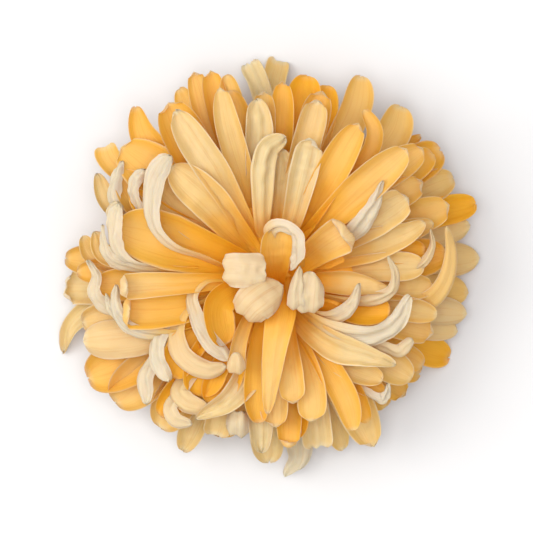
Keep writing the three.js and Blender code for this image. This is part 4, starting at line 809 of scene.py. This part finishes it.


# Waxy petal: amber at its base and yellower at its tip inside, cream outside, with fine lengthwise veins; a
# painted highlight along its rim and tip, painted shade down the sides of its inner face, and paleness that
# is partly painted light and shade
def petalSkin():
    material, tree, shader = newMaterial("petalSkin")
    u, v, s, pale, seed = (own(tree, k) for k in ("u", "v", "s", "pale", "seed"))
    inner = smoothRange(tree, v, -0.3, 0.3)
    shift = plus(tree, s, times(tree, minus(tree, seed, 0.5), 0.16))
    patch = noiseOn(tree, joined(tree, times(tree, u, 0.8), times(tree, s, 4), times(tree, seed, 31)), 1.6)
    shift = plus(tree, shift, times(tree, minus(tree, patch, 0.5), 0.3))
    # pale petals lose the deep colour of their base sooner, those below nought keep it further up. Paleness
    # is partly the petal's own cream and partly painted light and shade: set higher on lit petals and lower,
    # even below nought, on petals that lie in shade, to paint them deep orange
    shift = plus(tree, shift, calc(tree, "MINIMUM", pale, times(tree, pale, 0.2)))
    warm = blended(tree, smoothRange(tree, shift, 0.06, 0.5), petalColours["innerBase"],
                   petalColours["innerMiddle"])
    faded = calc(tree, "MINIMUM", 1, plus(tree, 0.3, times(tree, pale, 1.3)))
    warm = blended(tree, times(tree, smoothRange(tree, shift, 0.4, 0.95), faded), warm,
                   petalColours["innerTip"])
    paleness = times(tree, calc(tree, "MAXIMUM", pale, 0), smoothRange(tree, shift, 0.15, 0.95))
    warm = blended(tree, paleness, warm, petalColours["innerPale"])
    # painted shade: the inner face goes deeper orange towards its sides, where the petal curves away from the
    # light, less so on pale petals
    side = times(tree, smoothRange(tree, calc(tree, "ABSOLUTE", u), 0.35, 0.9), 0.5)
    warm = blended(tree, times(tree, side, minus(tree, 1.1, pale)), warm,
                   petalColours["innerMiddle"])
    milk = times(tree, smoothRange(tree, shift, 0.3, 0.8), plus(tree, 0.12, times(tree, pale, 0.88)))
    cream = blended(tree, milk, petalColours["outerBase"], petalColours["outerTip"])
    skin = blended(tree, inner, cream, warm)
    # painted highlight: a paler rim along each petal's sides and at its tip, stronger on pale petals
    paintedRimHighlight = smoothRange(tree, calc(tree, "ABSOLUTE", u), 0.86, 1)
    paintedRimHighlight = calc(tree, "MAXIMUM", paintedRimHighlight, smoothRange(tree, s, 0.965, 1))
    paintedRimHighlight = times(tree, paintedRimHighlight, smoothRange(tree, s, 0.3, 0.7))
    paintedRimHighlight = times(tree, paintedRimHighlight, plus(tree, 0.35, times(tree, pale, 0.45)))
    skin = blended(tree, paintedRimHighlight, skin, petalColours["rim"])
    along = joined(tree, times(tree, u, 9), times(tree, s, 1.5), times(tree, seed, 73))
    veins = noiseOn(tree, along, 1.4, 3)
    skin = blended(tree, times(tree, smoothRange(tree, veins, 0.5, 0.75), 0.22), skin,
                   petalColours["veins"], "MULTIPLY")
    tree.links.new(skin, shader.inputs["Base Color"])
    rough = plus(tree, 0.42, times(tree, veins, 0.22))
    tree.links.new(rough, shader.inputs["Roughness"])
    shader.inputs["Subsurface Weight"].default_value = 0.3
    shader.inputs["Subsurface Radius"].default_value = (1, 0.75, 0.4)
    shader.inputs["Subsurface Scale"].default_value = 0.0018
    shader.inputs["Specular IOR Level"].default_value = 0.35
    bumped(tree, shader, veins, 0.0003, 0.6)
    through = newNode(tree, "ShaderNodeBsdfTranslucent")
    feed(tree, skin, through.inputs["Color"])
    both = newNode(tree, "ShaderNodeMixShader")
    both.inputs[0].default_value = 0.4
    tree.links.new(shader.outputs[0], both.inputs[1])
    tree.links.new(through.outputs[0], both.inputs[2])
    tree.links.new(both.outputs[0], tree.nodes["Material Output"].inputs["Surface"])
    return material


coreColours = {
    "heart": (0.90, 0.42, 0.016),
    "heartGrain": (0.90, 0.46, 0.03),
    "bractBase": (0.16, 0.24, 0.045),
    "bractTip": (0.30, 0.36, 0.09),
    "bractRim": (0.52, 0.44, 0.24),
    "bractMottle": (0.30, 0.30, 0.10),
    "bractMidrib": (0.42, 0.46, 0.18),
    "stem": (0.20, 0.28, 0.07),
    "stemFibre": (0.33, 0.38, 0.13),
    "pith": (0.66, 0.62, 0.42),
    "pithWalls": (0.40, 0.40, 0.20),
}


# Grainy amber of the crowded petal feet
def heartSkin():
    material, tree, shader = newMaterial("heartSkin")
    place = newNode(tree, "ShaderNodeTexCoord").outputs["Object"]
    grain = noiseOn(tree, place, 900, 3)
    tone = blended(tree, grain, coreColours["heart"], coreColours["heartGrain"])
    tree.links.new(tone, shader.inputs["Base Color"])
    shader.inputs["Roughness"].default_value = 0.6
    bumped(tree, shader, grain, 0.0004, 0.8)
    return material


# Mottled green with a paler midrib and rim
def bractSkin():
    material, tree, shader = newMaterial("bractSkin")
    u, s, seed = (own(tree, k) for k in ("u", "s", "seed"))
    place = newNode(tree, "ShaderNodeTexCoord").outputs["Object"]
    mottle = noiseOn(tree, place, 420, 3)
    tone = blended(tree, smoothRange(tree, plus(tree, s, times(tree, seed, 0.2)), 0.2, 1),
                   coreColours["bractBase"], coreColours["bractTip"])
    tone = blended(tree, times(tree, mottle, 0.5), tone, coreColours["bractMottle"])
    rim = calc(tree, "MAXIMUM", smoothRange(tree, calc(tree, "ABSOLUTE", u), 0.72, 0.95),
               smoothRange(tree, s, 0.86, 1))
    tone = blended(tree, times(tree, rim, 0.85), tone, coreColours["bractRim"])
    midrib = smoothRange(tree, calc(tree, "ABSOLUTE", u), 0.16, 0)
    tone = blended(tree, times(tree, midrib, 0.5), tone, coreColours["bractMidrib"])
    tree.links.new(tone, shader.inputs["Base Color"])
    shader.inputs["Roughness"].default_value = 0.62
    along = joined(tree, times(tree, u, 8), s, times(tree, seed, 40))
    veins = noiseOn(tree, along, 1.5, 2)
    bumped(tree, shader, veins, 0.0003, 0.6)
    return material


# Fibrous green outside, cells of pith on the cut end
def stemSkin():
    material, tree, shader = newMaterial("stemSkin")
    place = newNode(tree, "ShaderNodeTexCoord").outputs["Object"]
    parts = newNode(tree, "ShaderNodeSeparateXYZ")
    tree.links.new(place, parts.inputs[0])
    squeeze = {"X": 1400, "Y": 1400, "Z": 160}
    stretched = [times(tree, parts.outputs[axis], scale) for axis, scale in squeeze.items()]
    fibre = noiseOn(tree, joined(tree, *stretched), 1, 3)
    tone = blended(tree, fibre, coreColours["stem"], coreColours["stemFibre"])
    inside = own(tree, "inside")
    cells = newNode(tree, "ShaderNodeTexVoronoi")
    tree.links.new(place, cells.inputs["Vector"])
    cells.inputs["Scale"].default_value = 2600
    pith = blended(tree, cells.outputs["Distance"], coreColours["pith"], coreColours["pithWalls"])
    tone = blended(tree, smoothRange(tree, inside, 0.2, 0.8), tone, pith)
    tree.links.new(tone, shader.inputs["Base Color"])
    shader.inputs["Roughness"].default_value = 0.68
    bumped(tree, shader, fibre, 0.0004, 0.7)
    return material


# Tells the frame which node a piece shows
def settled(piece, node):
    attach(piece, "root")
    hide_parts(node)


def meshPiece(name, verts, faces, material, smooth=True):
    mesh = bpy.data.meshes.new(name)
    mesh.from_pydata(verts, [], faces)
    mesh.polygons.foreach_set("use_smooth", [smooth] * len(mesh.polygons))
    mesh.materials.append(material)
    mesh.update()
    piece = bpy.data.objects.new(name, mesh)
    bpy.context.scene.collection.objects.link(piece)
    return piece


# Closed skin round the flower's axis from a profile of radius and height, with a small flat cap at each end
def roundSkin(profile, sides, wobble=None):
    heartX, heartY = flower["heart"]
    verts = []
    for r, z in profile:
        for i in range(sides):
            a = 2 * math.pi * i / sides
            far = r if wobble is None else wobble(a, r, z)
            verts.append((Vector((heartX + far * math.cos(a), heartY + far * math.sin(a), z)) + settle) * mm)
    faces = []
    for j in range(len(profile) - 1):
        for i in range(sides):
            k = (i + 1) % sides
            faces.append((j * sides + i, j * sides + k, (j + 1) * sides + k, (j + 1) * sides + i))
    faces.append(tuple(range(sides))[::-1])
    faces.append(tuple((len(profile) - 1) * sides + i for i in range(sides)))
    return verts, faces


petalSizes = {
    "Section points": 28,
    "Thickness": 0.62 * mm,
    "Groove depth": 0.9 * mm,
    "Ruffle": 0.7 * mm,
    "Edge lift": 0.8 * mm,
    "Notch": 0.3 * mm,
    "Fray": 4 * mm,
    "Hood": 0.15,
    "Crumple": 3.5 * mm,
}

blades = bladeTree("petalBlades")
petalSizes["Skin"] = petalSkin()
tiers = {
    "petalsHeart": heartPetals,
    "petalsNorth": northPetals,
    "petalsEast": eastPetals,
    "petalsSouthEast": southEastPetals,
    "petalsSouth": southPetals,
    "petalsSouthWest": southWestPetals,
    "petalsWest": westPetals,
    "petalsLowRings": ringPetals(rings[0], 0) + ringPetals(rings[1], 1),
    "petalsHighRings": ringPetals(rings[2], 2) + ringPetals(rings[3], 3),
}
for number, (tierName, tierRows) in enumerate(tiers.items()):
    lines = [petalLine(row, draw(number * 97 + k + 3000)) for k, row in enumerate(tierRows)]
    settled(growBlades(tierName, guideMesh(tierName + "Lines", lines), blades, petalSizes), "bloom")
print("petals grown")

# The receptacle with the crowded feet of the petals, a low mound with a hollow in the middle of its top
head = {
    "sides": 180,
    "ribs": 34,
    "ribDepth": 0.015,                   # share of the radius
    "profile": [(7, 13.2), (16, 13.6), (24, 15.5), (27.6, 18.5), (28.5, 22), (28, 26), (25.4, 29.6),
                (21.6, 31), (17.5, 29.6), (13, 26.6), (7, 25.6), (1.4, 25.4)],
}


def headRadius(a, r, z):
    return r * (1 + head["ribDepth"] * math.sin(head["ribs"] * a + z))


headVerts, headFaces = roundSkin(head["profile"], head["sides"], headRadius)
settled(meshPiece("receptacle", headVerts, headFaces, heartSkin()), "bloom")
print("receptacle made")

cup = {
    "bottom": 4.8,
    "top": 12.5,
    "radius": 12.6,
    "stem": 3.3,
    # rows of bracts from the stem outwards: count, first heading, start and end along the cup, width, spread
    "rows": [[8, 10, 0.14, 0.72, 5.4, 1.2], [10, 28, 0.42, 0.92, 5.6, 1.4], [12, 5, 0.64, 0.99, 5.4, 1.6]],
    "stations": 18,
}


# A place on the cup, s 0 at the stem and 1 at the rim: radius, height and the outward slope there
def cupSkin(s):
    wide = cup["radius"] - cup["stem"]
    tall = cup["top"] - cup["bottom"]
    t = s * math.pi / 2
    slope = Vector((math.sin(t) / wide, -math.cos(t) / tall)).normalized()
    return cup["stem"] + wide * math.sin(t), cup["top"] - tall * math.cos(t), slope


# Guide points of one bract, pressed to the cup at its foot and off it at its tip
def bractLine(az, row, seed):
    _, _, start, end, width, spread = row
    out = Vector((math.cos(az), math.sin(az), 0))
    middle = Vector((*flower["heart"], 0)) + settle
    places = []
    count = cup["stations"]
    for i in range(count):
        k = i / (count - 1)
        r, z, slope = cupSkin(start + (end - start) * k)
        off = out * slope.x + Vector((0, 0, slope.y))
        lift = -0.9 + 2.6 * k if k < 0.5 else 0.4 + (spread - 0.4) * (k - 0.5) * 2
        wide = 0.8 + 0.4 * k if k < 0.5 else 0.14 + 0.86 * math.sqrt(max(0, 1 - (2 * k - 1) ** 2.2))
        places.append((k, middle + out * r + Vector((0, 0, z)) + off * lift, off, wide))
    line = []
    for i, (k, at, off, wide) in enumerate(places):
        way = (places[min(i + 1, count - 1)][1] - places[max(i - 1, 0)][1]).normalized()
        off = (off - way * off.dot(way)).normalized()
        line.append({
            "s": k,
            "half": width / 2 * wide * mm,
            "bend": -0.34,
            "pale": 0.0,
            "seed": seed,
            "blunt": 0.0,
            "middle": at * mm,
            "along": way,
            "across": off.cross(way),
            "face": off,
        })
    return line


bractSizes = {
    "Section points": 20,
    "Thickness": 0.9 * mm,
    "Groove depth": 0.12 * mm,
    "Ruffle": 0.15 * mm,
    "Edge lift": 0.0,
    "Notch": 0.0,
    "Fray": 0.0,
    "Hood": 0.0,
    "Crumple": 0.0,
    "Skin": bractSkin(),
}
bractLines = []
for rowIndex, bractRow in enumerate(cup["rows"]):
    for i in range(bractRow[0]):
        az = bractRow[1] + i * 360 / bractRow[0] + (draw(rowIndex * 50 + i + 2000) - 0.5) * 6
        bractLines.append(bractLine(math.radians(az), bractRow, draw(rowIndex * 50 + i + 4000)))
settled(growBlades("bracts", guideMesh("bractLines", bractLines), blades, bractSizes), "involucre")

cupProfile = [(0.4, cup["bottom"])] + [cupSkin(i / 12)[:2] for i in range(13)] + [(11, 12.9), (7, 13.3)]


def cupRadius(a, r, z):
    return r + 0.12 * math.sin(11 * a) * min(1, r / 6)


cupVerts, cupFaces = roundSkin(cupProfile, 72, cupRadius)
settled(meshPiece("cupWall", cupVerts, cupFaces, bractSizes["Skin"]), "involucre")
print("involucre made")

stub = {
    "radius": 3.3,
    "ribs": 6,
    "ribDepth": 0.25,
    "sides": 96,
    # from the middle of the cut end out to its edge: radius, height, how much of it shows pith
    "cutEnd": [(0.1, 0.95, 1), (0.6, 0.93, 1), (1.2, 0.86, 1), (1.8, 0.72, 1), (2.35, 0.62, 0.9),
               (2.8, 0.53, 0.7), (3.1, 0.5, 0.35), (3.24, 0.56, 0.1)],
}


def stubRadius(a, r, z):
    share = r / stub["radius"]
    rib = stub["ribDepth"] * (math.cos(a * stub["ribs"]) - 1)
    uneven = 0.05 * math.sin(3 * a + z * 2.1) + 0.03 * math.sin(7 * a - z * 5)
    return r + (rib + uneven) * share ** 3


stubProfile = [(r, z) for r, z, _ in stub["cutEnd"]]
stubProfile += [(stub["radius"], z / 10) for z in range(8, 50, 3)] + [(stub["radius"], 4.98), (0.1, 5)]
stubVerts, stubFaces = roundSkin(stubProfile, stub["sides"], stubRadius)
stem = meshPiece("cutStem", stubVerts, stubFaces, stemSkin())
inside = stem.data.attributes.new("inside", "FLOAT", "POINT")
shares = [share for _, _, share in stub["cutEnd"]]
shares += [0] * (len(stubProfile) - len(shares))
inside.data.foreach_set("value", [float(share) for share in shares for _ in range(stub["sides"])])
settled(stem, "stem")
print("stem made")

studio = {
    "floor": (0.62, 0.616, 0.614),
    "floorPatches": (0.64, 0.636, 0.636),
    "floorReach": 1.6,
    "worldStrength": 0.88,
    "keyWatts": 8.6,
    "keyPlace": (-0.75, 0.1, 0.95),
    "keySize": 0.8,
    "topWatts": 12,
    "topPlace": (-0.05, 0, 1.6),
    "topSize": 0.8,
}


def softLight(name, watts, place, size, colour):
    lamp = bpy.data.lights.new(name, "AREA")
    lamp.shape = "DISK"
    lamp.size = size
    lamp.energy = watts
    lamp.color = colour
    holder = bpy.data.objects.new(name, lamp)
    bpy.context.scene.collection.objects.link(holder)
    holder.location = place
    holder.rotation_euler = (Vector((0, 0, 0.02)) - Vector(place)).to_track_quat("-Z", "Y").to_euler()


def paleFloor():
    reach = studio["floorReach"]
    corners = [(-reach, -reach, 0), (reach, -reach, 0), (reach, reach, 0), (-reach, reach, 0)]
    material, tree, shader = newMaterial("paleFloor")
    place = newNode(tree, "ShaderNodeTexCoord").outputs["Object"]
    tone = blended(tree, noiseOn(tree, place, 6), studio["floor"], studio["floorPatches"])
    tree.links.new(tone, shader.inputs["Base Color"])
    shader.inputs["Roughness"].default_value = 0.9
    meshPiece("floor", corners, [(0, 1, 2, 3)], material, smooth=False)


paleFloor()
softLight("key", studio["keyWatts"], studio["keyPlace"], studio["keySize"], (1, 0.985, 0.96))
softLight("top", studio["topWatts"], studio["topPlace"], studio["topSize"], (1, 0.99, 0.975))
world = bpy.data.worlds.new("studio")
bpy.context.scene.world = world
world.use_nodes = True
world.node_tree.nodes["Background"].inputs[0].default_value = (0.97, 0.975, 1, 1)
world.node_tree.nodes["Background"].inputs[1].default_value = studio["worldStrength"]
bpy.context.scene.view_settings.view_transform = "Standard"
bpy.context.scene.cycles.diffuse_bounces = 12
bpy.context.scene.cycles.max_bounces = 16

# Straight above, as in the photograph, far enough away for the petals to keep their places
view = {
    "height": 2.5,
    "aside": (-0.00068, 0.00061),        # from the middle of the bloom
    "covers": 0.167,                     # metres across the picture, halfway up the bloom
    "halfway": 0.022,                    # metres above the surface
}
lens = bpy.data.cameras.new("camera")
lens.angle = 2 * math.atan(view["covers"] / 2 / (view["height"] - view["halfway"]))
lens.clip_end = 10
camera = bpy.data.objects.new("camera", lens)
eye = settle * mm + Vector((*view["aside"], view["height"]))
camera.location = eye
bpy.context.scene.collection.objects.link(camera)
bpy.context.scene.camera = camera
print("studio set")
